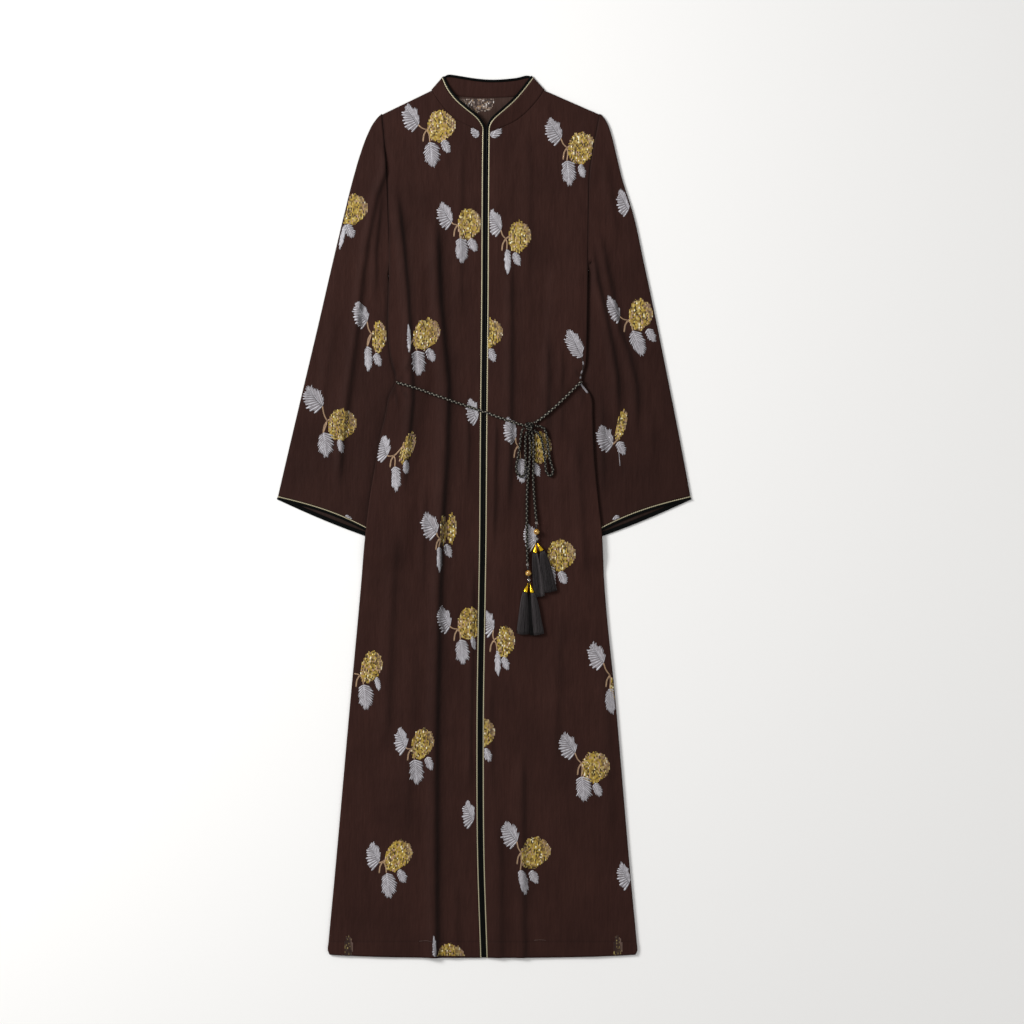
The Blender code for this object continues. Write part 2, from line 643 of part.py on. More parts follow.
def tassel(name, root, tip, half_width, finish):
    """Head whose lower face carries a bundle of four-sided strands, each fanned out along a straight line."""
    root, tip = Vector(root), Vector(tip)
    along = tip - root
    across = along.cross(Vector((0, 0, 1))).normalized()
    up = across.cross(along).normalized()
    bundle = bmesh.new()
    bmesh.ops.create_grid(bundle, x_segments=STRANDS_WIDE, y_segments=STRANDS_DEEP, size=1.0)
    cells = bundle.faces[:]
    bmesh.ops.inset_individual(bundle, faces=cells, thickness=STRAND_INSET)
    ends = bmesh.ops.extrude_discrete_faces(bundle, faces=cells)["faces"]
    for number, face in enumerate(ends):
        for corner in face.verts:
            corner.co.z = 1 + RAGGED * math.sin(2.4 * number)
    rim = [edge for edge in bundle.edges if edge.is_boundary]
    head = bmesh.ops.extrude_edge_only(bundle, edges=rim)["geom"]
    for corner in head:
        if isinstance(corner, bmesh.types.BMVert):
            corner.co.z = TASSEL_HEAD
    bmesh.ops.holes_fill(bundle, edges=[edge for edge in bundle.edges if edge.is_boundary])
    # The square bundle is drawn out into an ellipse that widens towards the tips.
    for corner in bundle.verts:
        u, v, reach = corner.co
        if reach < 0:
            wide, deep = TASSEL_TOP
        else:
            wide = TASSEL_ROOTS[0] + (half_width - TASSEL_ROOTS[0]) * reach
            deep = TASSEL_ROOTS[1] + (TASSEL_TIP_DEPTH - TASSEL_ROOTS[1]) * reach
        sideways = wide * u * math.sqrt(1 - v * v / 2)
        upwards = deep * v * math.sqrt(1 - u * u / 2)
        corner.co = world(*(root + along * reach + across * sideways + up * upwards))
    bmesh.ops.recalc_face_normals(bundle, faces=bundle.faces)
    mesh = bpy.data.meshes.new(name)
    bundle.to_mesh(mesh)
    bundle.free()
    return add_object(name, mesh, finish)


# Build.
for old in list(bpy.data.objects):
    bpy.data.objects.remove(old)
garment = bpy.data.collections.new("abaya")
bpy.context.scene.collection.children.link(garment)

brocade = material("brown brocade", (0.034, 0.015, 0.012), 0.8)
black_satin = material("black satin", (0.004, 0.004, 0.004), 0.45)
gold_braid = material("pale gold braid", (0.47, 0.38, 0.15), 0.4, 0.6)
black_cord = material("black braided cord", (0.012, 0.011, 0.011), 0.6)
clear_glass = material("clear glass", (0.8, 0.8, 0.8), 0.1)
amber_gold = material("amber gold glass", (0.45, 0.24, 0.04), 0.2)
yellow_metal = material("yellow gold metal", (0.75, 0.5, 0.02), 0.25, 1.0)
black_silk = material("black silk strands", (0.012, 0.011, 0.012), 0.5)

back()
front("front_right", -1, FOLDS_RIGHT)
front("front_left", 1, FOLDS_LEFT)
collar()
edge_trim("edge_piping", -PIPING / 2, PIPING / 2, gold_braid)
edge_trim("edge_binding", BINDING_START, BINDING_START + BINDING, black_satin)
for side_name, side in (("right", -1), ("left", 1)):
    sleeve("sleeve_" + side_name, side)
    cuff_trim("cuff_piping_" + side_name, side, -PIPING / 2, PIPING / 2, gold_braid)
    cuff_trim("cuff_binding_" + side_name, side, BINDING_START, BINDING_START + BINDING, black_satin)

for name in CORD_ROUTES:
    cord(name, black_cord)
knot("bow_knot", black_cord)
for name, (_, radius, _) in BEADS.items():
    bead(name, amber_gold if radius == GOLD_BEAD else clear_glass)
for place, (cap_top, cap_foot, root, tip, half_width) in TASSELS.items():
    tassel_cap("cap_" + place, cap_top, cap_foot, yellow_metal)
    tassel("tassel_" + place, root, tip, half_width, black_silk)
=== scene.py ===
"""Open-front abaya laid flat on its back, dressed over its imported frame.

Plan points are millimetres: x across the garment, negative on the wearer's right, y up from the hem and z up
from the floor. metres() moves them to the frame. Every cloth piece is a height over its plan: the laid
surface, what lies under it, and a bell-shaped rise across each fold's line.
"""

import math

import bpy
import numpy as np
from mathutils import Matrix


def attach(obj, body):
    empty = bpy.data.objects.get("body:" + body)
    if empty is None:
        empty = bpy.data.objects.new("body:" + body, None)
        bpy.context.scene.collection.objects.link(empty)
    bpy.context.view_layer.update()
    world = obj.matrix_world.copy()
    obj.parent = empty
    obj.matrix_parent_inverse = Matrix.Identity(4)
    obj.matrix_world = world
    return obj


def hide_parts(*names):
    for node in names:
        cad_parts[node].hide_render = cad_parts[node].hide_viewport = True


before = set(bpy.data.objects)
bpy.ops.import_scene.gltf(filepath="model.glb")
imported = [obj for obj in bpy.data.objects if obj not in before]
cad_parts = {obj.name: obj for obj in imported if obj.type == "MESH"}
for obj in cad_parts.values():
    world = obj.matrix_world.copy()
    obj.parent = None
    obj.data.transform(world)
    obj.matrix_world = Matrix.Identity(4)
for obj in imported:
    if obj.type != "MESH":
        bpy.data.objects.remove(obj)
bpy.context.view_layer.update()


# Studio: a plain pale floor, a large soft lamp from the upper left, a weak one from the
# right, and the camera straight above the middle of the picture, 1.6 mm for each pixel.

LENGTH = 1412.8  # hem to the top of the collar
PIXEL = 1.6


def metres(points):
    """Plan millimetres to the frame: half the length is taken from y, then all is divided by 1000."""
    return (np.asarray(points, float) - (0.0, LENGTH / 2, 0.0)) / 1000


def linear(colour):
    """sRGB hex to linear: c / 12.92 up to 0.04045, and ((c + 0.055) / 1.055) ** 2.4 above it."""
    parts = np.array([int(colour[at : at + 2], 16) / 255 for at in (1, 3, 5)])
    parts = np.where(parts <= 0.04045, parts / 12.92, ((parts + 0.055) / 1.055) ** 2.4)
    return (*parts.tolist(), 1.0)


def add_node(tree, kind, sockets, **settings):
    """Adds a shader node, sets it, and gives each named socket a value or another node's output."""
    made = tree.nodes.new("ShaderNode" + kind)
    for setting, value in settings.items():
        setattr(made, setting, value)
    for socket, value in sockets.items():
        if isinstance(value, bpy.types.Node):
            value = value.outputs[0]
        if isinstance(value, bpy.types.NodeSocket):
            tree.links.new(value, made.inputs[socket])
        else:
            made.inputs[socket].default_value = value
    return made


def new_finish(name, **sockets):
    """Material with one Principled shader; words in a socket's name are joined by _."""
    made = bpy.data.materials.new(name)
    made.use_nodes = True
    shader = made.node_tree.nodes["Principled BSDF"]
    for socket, value in sockets.items():
        shader.inputs[socket.replace("_", " ")].default_value = value
    return made, made.node_tree, shader


floor_finish, tree, shader = new_finish("pale studio floor", Base_Color=linear("#F4F3F1"), Roughness=0.85)
mesh = bpy.data.meshes.new("floor")
mesh.from_pydata([(-6, -6, -0.0004), (6, -6, -0.0004), (6, 6, -0.0004), (-6, 6, -0.0004)], [], [(0, 1, 2, 3)])
mesh.materials.append(floor_finish)
floor = bpy.data.objects.new("floor", mesh)
bpy.context.scene.collection.objects.link(floor)

for name, (x, y, z), size, power in (
    ("window_lamp", (-2.6, 1.3, 1.9), 1.2, 126.0),
    ("fill_lamp", (2.2, -0.6, 2.8), 2.2, 14.0),
):
    lamp = bpy.data.lights.new(name, "AREA")
    lamp.size = size
    lamp.energy = power
    holder = bpy.data.objects.new(name, lamp)
    bpy.context.scene.collection.objects.link(holder)
    holder.location = (x, y, z)
    holder.rotation_euler = (math.atan2(math.hypot(x, y), z), 0.0, math.atan2(-y, -x) - math.pi / 2)

world = bpy.data.worlds.new("studio")
world.use_nodes = True
world.node_tree.nodes["Background"].inputs["Color"].default_value = (1.0, 1.0, 1.0, 1.0)
world.node_tree.nodes["Background"].inputs["Strength"].default_value = 0.45
bpy.context.scene.world = world
bpy.context.scene.view_settings.view_transform = "Standard"

camera = bpy.data.cameras.new("camera")
camera.lens, camera.sensor_width = 85.0, 36.0
holder = bpy.data.objects.new("camera", camera)
holder.location = (0.0445, 0.0064, 1.024 * PIXEL * camera.lens / camera.sensor_width)
bpy.context.scene.collection.objects.link(holder)
bpy.context.scene.camera = holder


# Waist cord: a round braid of 16 black yarns with two cream ones, 4 mm
# thick. Two stretches are sewn into the side seams and run to the knot;
# the bow's loops and the two free ends leave it. All lie along the cloth.

CORD_RADIUS = 2.0
CORD_ROUTES = {
    "waist_cord_right": (
        (-140, 919.6, 9.1), (-121, 914.3, 10.6), (-101, 908, 9.2), (-84, 901.6, 8.6), (-68, 896, 10.3),
        (-50, 889.6, 8.0), (-30, 883, 5.6), (-9, 876, 5.3), (8, 869.8, 5.4), (30, 861.7, 6.8),
        (46, 856.2, 7.1),
        (62.6, 851.5, 5.6),
    ),
    "waist_cord_left": (
        (155.6, 921.6, 8.6), (140, 906, 8.6), (128, 894.2, 8.8), (115.7, 882.6, 8.7), (103, 871.5, 8.1),
        (91, 861.8, 7.0), (80.2, 855.2, 5.7),
    ),
    "bow_loop_right": (
        (63.4, 846.9, 9.9), (60.2, 841.4, 8.2), (58.4, 830, 6.1), (56.6, 815, 5.5), (53.4, 797, 5.6),
        (51.2, 784, 5.8), (53.6, 773.4, 5.6), (60.0, 769.4, 5.3), (65.2, 775, 5.3), (66.3, 788, 5.3),
        (65.9, 806, 5.3), (66, 822, 5.5), (66.2, 833, 7.3), (68.4, 841.2, 9.9),
    ),
    "bow_loop_left": (
        (81.6, 849.9, 9.9), (88.8, 849.6, 8.9), (96, 845.4, 8.0), (100.2, 834, 7.8), (102.4, 816, 7.8),
        (105.6, 795, 7.9), (110, 779, 8.0), (105.6, 770.4, 7.8), (99.4, 777.6, 7.5), (97.4, 795, 7.5),
        (94.6, 813, 7.2), (91.4, 829, 6.9), (86.0, 838.4, 8.0), (79.9, 843.4, 9.9),
    ),
    "cord_end_right": (
        (71.0, 841.6, 5.5), (72.6, 832, 5.3), (73.6, 818, 5.3), (73, 800, 5.3), (71.8, 784, 5.3),
        (69.9, 764, 5.3), (68.6, 740, 5.3), (68.4, 700, 5.3), (68.6, 665, 5.4), (69, 645, 6.1),
        (69.2, 631.4, 6.9),
    ),
    "cord_end_left": (
        (76.2, 842.4, 5.5), (78.4, 832, 5.4), (79.2, 815, 5.4), (79, 794, 5.4), (78.4, 772, 5.4),
        (79.2, 750, 5.4),
        (81, 725, 5.6), (82.6, 708, 6.3), (83.5, 698.1, 6.9),
    ),
}
CORD_STEP = 0.5  # between two rings of a cord's skin
CORD_SIDES = 32
YARN = 1.6  # width of a yarn where it shows
FLECK_STEP = 3.75
# How pale the flecks are: on the tight cord at the waist, and on the bow, its ends and its knot.
WAIST_FLECKS, BOW_FLECKS = 0.62, 0.36


def unit(vectors):
    """Each vector divided by its length."""
    return vectors / np.linalg.norm(vectors, axis=-1, keepdims=True)


def sum_of_steps(line):
    """Distance along a line of points: the running total of the steps between them."""
    return np.concatenate(([0.0], np.cumsum(np.linalg.norm(np.diff(line, axis=0), axis=1))))


def evenly(line, step):
    """The same line with its points a step apart, straight between those it had."""
    along = sum_of_steps(line)
    places = np.linspace(0.0, along[-1], max(2, round(along[-1] / step) + 1))
    return np.stack([np.interp(places, along, line[:, axis]) for axis in range(line.shape[1])], axis=1)


def smooth_route(route, step):
    """Cubic arcs between the points; a handle is a sixth of the step between the points on both sides."""
    route = np.array(route, float)
    route = np.vstack((2 * route[0] - route[1], route, 2 * route[-1] - route[-2]))
    before, start, end, after = route[:-3], route[1:-2], route[2:-1], route[3:]
    t = np.linspace(0.0, 1.0, 40, endpoint=False)[:, None, None]
    arcs = (1 - t) ** 3 * start + 3 * (1 - t) ** 2 * t * (start + (end - before) / 6)
    arcs = arcs + 3 * (1 - t) * t**2 * (end - (after - start) / 6) + t**3 * end
    line = np.vstack((arcs.transpose(1, 0, 2).reshape(-1, 3), end[-1:]))
    return evenly(line, step)


def grid_faces(rows, columns, round_rows=False, round_columns=False):
    """Four-sided faces between the points of a grid; a round direction joins its last line to its first."""
    i = np.arange(rows if round_rows else rows - 1)[:, None]
    j = np.arange(columns if round_columns else columns - 1)[None, :]
    after, beside = (i + 1) % rows, (j + 1) % columns
    corners = (i * columns + j, after * columns + j, after * columns + beside, i * columns + beside)
    return np.stack(np.broadcast_arrays(*corners), axis=-1).reshape(-1, 4)


def enclosed(points, faces):
    """Six times the volume inside four-sided faces, each taken as two triangles seen from the middle."""
    points = points.reshape(-1, 3) - points.reshape(-1, 3).mean(axis=0)
    a, b, c, d = (points[faces[:, corner]] for corner in range(4))
    return np.einsum("ij,ij", a, np.cross(b, c)) + np.einsum("ij,ij", a, np.cross(c, d))


def facing_out(points, faces):
    """Faces of a closed skin, turned over if the volume that they enclose comes out negative."""
    return faces if enclosed(points, faces) > 0 else faces[:, ::-1]


def add_piece(name, points, faces, finish, slot, *replaced, **values):
    """Mesh piece of the garment from plan points; each named value is a number or colour for every point."""
    mesh = bpy.data.meshes.new(name)
    mesh.from_pydata(metres(points).reshape(-1, 3), [], faces)
    for value_name, numbers in values.items():
        numbers = np.asarray(numbers, np.float32).reshape(len(mesh.vertices), -1)
        coloured = numbers.shape[1] > 1
        layer = mesh.attributes.new(value_name, "FLOAT_COLOR" if coloured else "FLOAT", "POINT")
        layer.data.foreach_set("color" if coloured else "value", numbers.ravel())
    mesh.shade_smooth()
    for each in finish if isinstance(finish, tuple) else (finish,):
        mesh.materials.append(each)
    piece = bpy.data.objects.new(name, mesh)
    bpy.context.scene.collection.objects.link(piece)
    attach(piece, "root")
    if replaced:
        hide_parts(*replaced)
    return piece


def tube_points(line, across, up, radius, sides):
    """Rings round a line: its point, plus radius times the turn's cosine across and its sine up."""
    turn = np.arange(sides) * 2 * math.pi / sides
    ring = np.cos(turn)[None, :, None] * across[:, None, :] + np.sin(turn)[None, :, None] * up[:, None, :]
    return line[:, None, :] + ring * np.broadcast_to(radius, (len(line), sides))[:, :, None], turn


def tube_faces(points, closed=False):
    """Skin of a tube with a face over each open end."""
    rows, sides = points.shape[:2]
    skin = facing_out(points, grid_faces(rows, sides, closed, True))
    if closed:
        return skin.tolist()
    forward = skin[0][0] == 0 and skin[0][1] != sides
    first = np.arange(sides)[:: -1 if forward else 1]
    last = (rows - 1) * sides + first[::-1]
    return skin.tolist() + [first.tolist(), last.tolist()]


def tangents(line, closed=False):
    """Which way a line runs at each point: half the step from the point before it to the one after."""
    if not closed:
        return np.gradient(line, axis=0)
    return np.gradient(np.vstack((line[-1:], line, line[:1])), axis=0)[1:-1]


def level_frame(tangent):
    """Directions square to a line that never stands upright: level across it, and up from it."""
    across = unit(np.cross(tangent, (0.0, 0.0, 1.0)))
    return across, unit(np.cross(across, tangent))


def braid(line, radius, paleness, closed=False):
    """Braided skin: two sets of yarns wind opposite ways; the product of their cosines raises the radius.

    A cream yarn comes up at every FLECK_STEP as a slanting dash, left and right of the top in turn.
    The product of the cosines is returned too, for the painted shade in the hollows between yarns.
    """
    across, up = level_frame(tangents(line, closed))
    along = sum_of_steps(line)[:, None]
    turn = (np.arange(CORD_SIDES) * 2 * math.pi / CORD_SIDES)[None, :]
    yarns = round(2 * math.pi * radius / YARN)
    winding = turn * yarns / (2 * math.pi)
    knobs = np.abs(np.cos(math.pi * (winding + along / YARN)) * np.cos(math.pi * (winding - along / YARN)))
    points, _ = tube_points(line, across, up, radius * (0.93 + 0.1 * knobs), CORD_SIDES)
    count = np.round(along / FLECK_STEP)
    off_top = turn - math.pi / 2 - 0.62 * (-1.0) ** count
    arc = (np.mod(off_top + math.pi / 2, math.pi) - math.pi / 2) * radius
    off = along - count * FLECK_STEP
    slant = (-1.0) ** count
    fleck = np.exp(-(((off + arc * slant) / 1.9) ** 2) - ((off - arc * slant) / 0.95) ** 2)
    return points, paleness * np.clip(1.4 * fleck, 0, 1), knobs


cord_finish, tree, shader = new_finish("braided black cotton cord", Roughness=0.62)
# Matt cotton: painted shade makes it near black in the hollows between yarns and a little lighter on their
# crests; the cream yarn shows as short dashes.
fleck = add_node(tree, "Attribute", {}, attribute_name="fleck").outputs["Fac"]
knob = add_node(tree, "Attribute", {}, attribute_name="knob").outputs["Fac"]
black = add_node(
    tree, "Mix", {0: knob, 6: linear("#040404"), 7: linear("#151312")}, data_type="RGBA"
).outputs[2]
cream = add_node(tree, "Mix", {0: fleck, 6: black, 7: linear("#BDB6A6")}, data_type="RGBA").outputs[2]
tree.links.new(cream, shader.inputs["Base Color"])
shader.inputs["Specular IOR Level"].default_value = 0.12

cords = {}
for name, route in CORD_ROUTES.items():
    line = smooth_route(route, CORD_STEP)
    points, fleck, knobs = braid(line, CORD_RADIUS, WAIST_FLECKS if "waist" in name else BOW_FLECKS)
    piece = add_piece(
        name + "_braid", points, tube_faces(points), cord_finish, "black_cord", name, fleck=fleck, knob=knobs
    )
    cords[name] = (piece, line)

# The knot is tied of the same cord: a closed line that winds
# three times over and under while it goes round twice.
KNOT = (72.5, 850.0, 7.75)
KNOT_REACH = (6.3, 5.8, 2.9)
turn = np.linspace(0, 2 * math.pi, 220, endpoint=False)
out = 0.66 + 0.34 * np.cos(3 * turn)
line = np.stack((out * np.cos(2 * turn + 0.5), out * np.sin(2 * turn + 0.5), np.sin(3 * turn)), axis=1)
line = np.array(KNOT) + line * KNOT_REACH
points, fleck, knobs = braid(line, 1.9, BOW_FLECKS, closed=True)
add_piece(
    "bow_knot_braid", points, tube_faces(points, True), cord_finish, "black_cord", "bow_knot",
    fleck=fleck, knob=knobs,
)


# Body height: where the fronts and the back lie, how far the sleeves under them raise their sides, and
# the soft long folds that the cloth has taken. The same heights carry the trims and the woven sprays.

WALL = 1.2
FRONT_Z = 2.2
BACK_Z = 0.6
TUCK_LIFT = 3.2
RAISED_FROM, RAISED_TO = 0.54, 0.68
ARMHOLE_FOOT = 1113
PIPING_LINE = 5.1  # from the line where the fronts meet to the middle of the piping
CLOTH_START = 0.7  # the cloth's edge is sewn to the piping this far from its middle

# Where the fronts meet, and the side edges and armholes: height, then x on the right and left.
OPENING = np.array((
    (0, -0.3), (160, -5.3), (348, -6.4), (690, -1.9), (806, -1.1), (1052, 1.3), (1276, 2.6), (1322, 3.1),
))
SIDES = np.array((
    (0, 247, 242), (12, 250, 245), (26, 248.8, 243.8), (120, 240, 235), (400, 215, 211), (620, 195, 191),
    (645, 193, 190),
    (676, 190, 188.5), (733, 183, 182), (794, 173, 176.5), (831, 167, 174.5), (868, 158, 173.5),
    (898, 152, 171), (921, 141.5, 157), (950, 148, 162.5), (988, 153, 164), (1076, 152.5, 165.5),
    (1113, 152, 166), (1196, 154, 167), (1268, 157, 170), (1308, 160, 177), (1348, 163.5, 184.5),
))
RAISED = np.array(((618, 0), (643, 1), (1096, 1), (1113, 0)))

# Folds: half width, height, depth of the shade on the side away from the lamp,
# and then the height and x of points of the line, from the top down. The cord
# rides over the first two of each front; the others lie flat beneath it.
FOLDS_FRONT = {
    -1: (
        (10, 4.6, 0.5, (1204, -80), (1052, -74), (916, -61), (810, -63), (678, -72), (524, -76), (348, -80),
         (-199, -80)),
        (7.5, 2.5, 0.5, (1244, -144), (1154, -133), (1068, -125), (972, -119), (892, -117), (812, -124),
         (732, -133)),
        (12, 2.0, 0.22, (708, -138), (620, -148), (476, -154), (316, -162)),
        (6, 1.5, 0.3, (636, -18), (508, -20), (380, -23), (252, -24)),
        (8, 1.2, 0.15, (1324, -37), (1148, -39), (1004, -40)),
        (6, 1.0, 0.18, (780, -96), (700, -96), (572, -101)),
        (5, 1.2, 0.25, (924, -28), (828, -26), (732, -29)),
        (10, 1.2, 0.15, (156, -47), (-132, -48)),
        (14, 1.0, 0.12, (508, -114), (316, -122), (156, -132)),
    ),
    1: (
        (8, 2.2, 0.35, (1132, 41), (1004, 41), (828, 40), (700, 36)),
        (9, 2.4, 0.3, (1020, 100), (892, 99), (796, 97)),
        (9, 2.4, 0.28, (348, 59), (156, 60), (-148, 62)),
        (5, 1.2, 0.2, (1004, 123), (892, 123), (812, 121)),
        (9, 1.0, 0.12, (1340, 70), (1190, 70), (1052, 67)),
        (5, 1.6, 0.3, (900, 19), (812, 17), (636, 14)),
        (6, 1.0, 0.2, (460, 11), (380, 9), (252, 12)),
        (8, 1.4, 0.2, (252, 22), (124, 24), (-148, 25)),
        (12, 1.6, 0.15, (572, 118), (444, 115), (284, 110)),
        (12, 1.2, 0.12, (524, 190), (348, 195), (172, 201)),
        (10, 1.4, 0.15, (860, 145), (700, 153), (572, 161)),
    ),
}
FOLD_FADE = 70.0
# Short creases that spread from the pinched waist: start, end, half width and height.
PINCH = {
    -1: (
        (-141, 921, -127, 935, 3.4, 1.2), (-128, 934, -117, 964, 3.4, 1.2), (-141, 918, -152, 889, 3.4, 1.2),
        (-140, 911, -136, 873, 3.6, 1.2), (-138, 926, -149, 969, 3.4, 1.2), (-132, 911, -117, 892, 3.4, 1.2),
    ),
    1: ((156, 924, 142, 950, 3.4, 0.9), (155, 918, 144, 889, 3.4, 0.9), (158, 918, 153, 876, 3.4, 0.9)),
}
PINCH_SHADE = 0.35


def curve_through(places, values, at):
    """Smooth curve through a table: cubics between rows, whose slope at each weighs the steps beside it."""
    step = np.diff(places)
    values = np.asarray(values, float).reshape(len(places), -1)
    slope = np.diff(values, axis=0) / step[:, None]
    inner = (slope[:-1] * step[1:, None] + slope[1:] * step[:-1, None]) / (step[:-1] + step[1:])[:, None]
    slope = np.vstack((slope[:1], inner, slope[-1:]))
    at = np.clip(at, places[0], places[-1])
    row = np.clip(np.searchsorted(places, at, "right") - 1, 0, len(places) - 2)
    t = ((at - places[row]) / step[row])[..., None]
    width = step[row][..., None]
    made = (1 + 2 * t) * (1 - t) ** 2 * values[row] + t * (1 - t) ** 2 * width * slope[row]
    made = made + t * t * (3 - 2 * t) * values[row + 1] - t * t * (1 - t) * width * slope[row + 1]
    return made[..., 0] if made.shape[-1] == 1 else made


def ease(value):
    """Smooth step: 3 t squared minus 2 t cubed, with t held between 0 and 1."""
    t = np.clip(value, 0.0, 1.0)
    return t * t * (3 - 2 * t)


def piping_x(y, side):
    """x of the piping along a front's edge."""
    return curve_through(OPENING[:, 0], OPENING[:, 1], y) + side * PIPING_LINE


def side_x(y, side):
    """x of the body's side edge or armhole."""
    return side * curve_through(SIDES[:, 0], SIDES[:, 1 if side < 0 else 2], y)


def fold_lines(folds, x, y):
    """Height of the folds, a bell across each bent line, and their shade, a narrower bell on the lee side.

    Both die out over the line's first and last 70 mm. The shade also has a wide faint part.
    """
    tall, shade = np.zeros((2, *np.broadcast(x, y).shape))
    for half_width, height, depth, *line in folds:
        line_y, line_x = np.array(line, float).T
        across = (x - np.interp(-y, -line_y, line_x)) / half_width
        fade = ease((line_y[0] - y) / FOLD_FADE) * ease((y - line_y[-1]) / FOLD_FADE)
        tall = tall + height * fade * np.exp(-((across * np.where(across > 0, 1.2, 0.9)) ** 2))
        lee = np.exp(-(((across - 0.5) / 0.42) ** 2)) + 0.45 * np.exp(-(((across - 0.7) / 1.3) ** 2))
        shade = shade + depth * fade * lee
    return tall, shade


def crease_lines(creases, x, y):
    """Height and shade of straight creases: a bell across each one, highest a third of the way along it."""
    tall, shade = np.zeros((2, *np.broadcast(x, y).shape))
    for x0, y0, x1, y1, half_width, height in creases:
        run = math.hypot(x1 - x0, y1 - y0)
        along = ((x - x0) * (x1 - x0) + (y - y0) * (y1 - y0)) / run**2
        across = ((x - x0) * (y1 - y0) - (y - y0) * (x1 - x0)) / run / half_width
        fade = ease(along / 0.3) * ease((1 - along) / 0.6)
        tall = tall + height * fade * np.exp(-across * across)
        shade = shade + PINCH_SHADE * fade * np.exp(-(((across * np.sign(x1 - x0) - 0.5) / 0.7) ** 2))
    return tall, shade


def away_from_cord(x, y):
    """0 under the waist cord and the bow, 1 clear of them, so that the cloth stays flat beneath them."""
    waist = np.interp(x, (-140, -101, -50, 8, 62, 80, 116, 156), (920, 908, 890, 870, 852, 855, 883, 922))
    clear = ease((np.abs(y - waist) - 6) / 22)
    bow = ease((52 - np.abs(x - 78)) / 20) * ease((y - 480) / 40) * ease((920 - y) / 40)
    return clear * (1 - bow)


def slack_height(x, y):
    """Low uneven waves of cloth that lies slack: four long sines added, never below 0."""
    waves = np.sin(x / 21 + 1.7 * np.sin(y / 170)) + np.sin(x / 13.5 - y / 210 + 1.0)
    waves = waves + np.sin(y / 95 + x / 40) + 0.6 * np.sin(y / 47 - x / 30 + 2.0)
    return np.maximum(0.0, 0.36 * (waves + 0.6))


def body_lift(x, y, side):
    """How far a sleeve under the body raises it: nothing up to 54% of the way to the side, all from 68%."""
    inner = piping_x(y, side) + side * CLOTH_START
    share = (x - inner) / (side_x(y, side) - inner)
    beyond = ease((share - RAISED_FROM) / (RAISED_TO - RAISED_FROM))
    return TUCK_LIFT * np.interp(y, RAISED[:, 0], RAISED[:, 1]) * beyond


def front_relief(x, y, side):
    """Middle of a front's cloth: laid level, lift, folds, creases, slack and hem, and how shaded it is.

    Painted shade darkens the seam at the armhole and side, and more faintly the hem's sewn edge; the cloth's
    height has no dip there.
    """
    from_edge = side * (side_x(y, side) - x)
    edge_free = ease((np.abs(x - piping_x(y, side)) - 2) / 14) * ease((from_edge - 1) / 14)
    large, large_shade = fold_lines(FOLDS_FRONT[side][:2], x, y)
    small, small_shade = fold_lines(FOLDS_FRONT[side][2:], x, y)
    pinched, pinch_shade = crease_lines(PINCH[side], x, y)
    slack = (slack_height(x, y) * edge_free + pinched + small) * away_from_cord(x, y)
    hem = 0.45 * (1 - ease((y - 23.5) / 2.5))
    # Painted shade only: a dark band along the side seam and armhole, and a fainter one at the hem's sewn
    # edge.
    seam_painted_shade = 0.5 * np.exp(-((from_edge / 2.2) ** 2)) * ease((y - 740) / 60)
    hem_painted_shade = 0.22 * np.exp(-(((y - 26.0) / 1.6) ** 2))
    shade = large_shade + small_shade + pinch_shade + seam_painted_shade + hem_painted_shade
    return FRONT_Z + body_lift(x, y, side) + large + slack + hem, np.clip(shade, 0, 0.8)


# Cloth: a light brocade with a dark brown ground. Long warp floats give its right side faint
# upright streaks and a soft sheen; its wrong side is greyer, where the brocading threads run loose.

GROUND, GROUND_LIGHT, WRONG_SIDE = "#2B1814", "#351F1A", "#35261F"


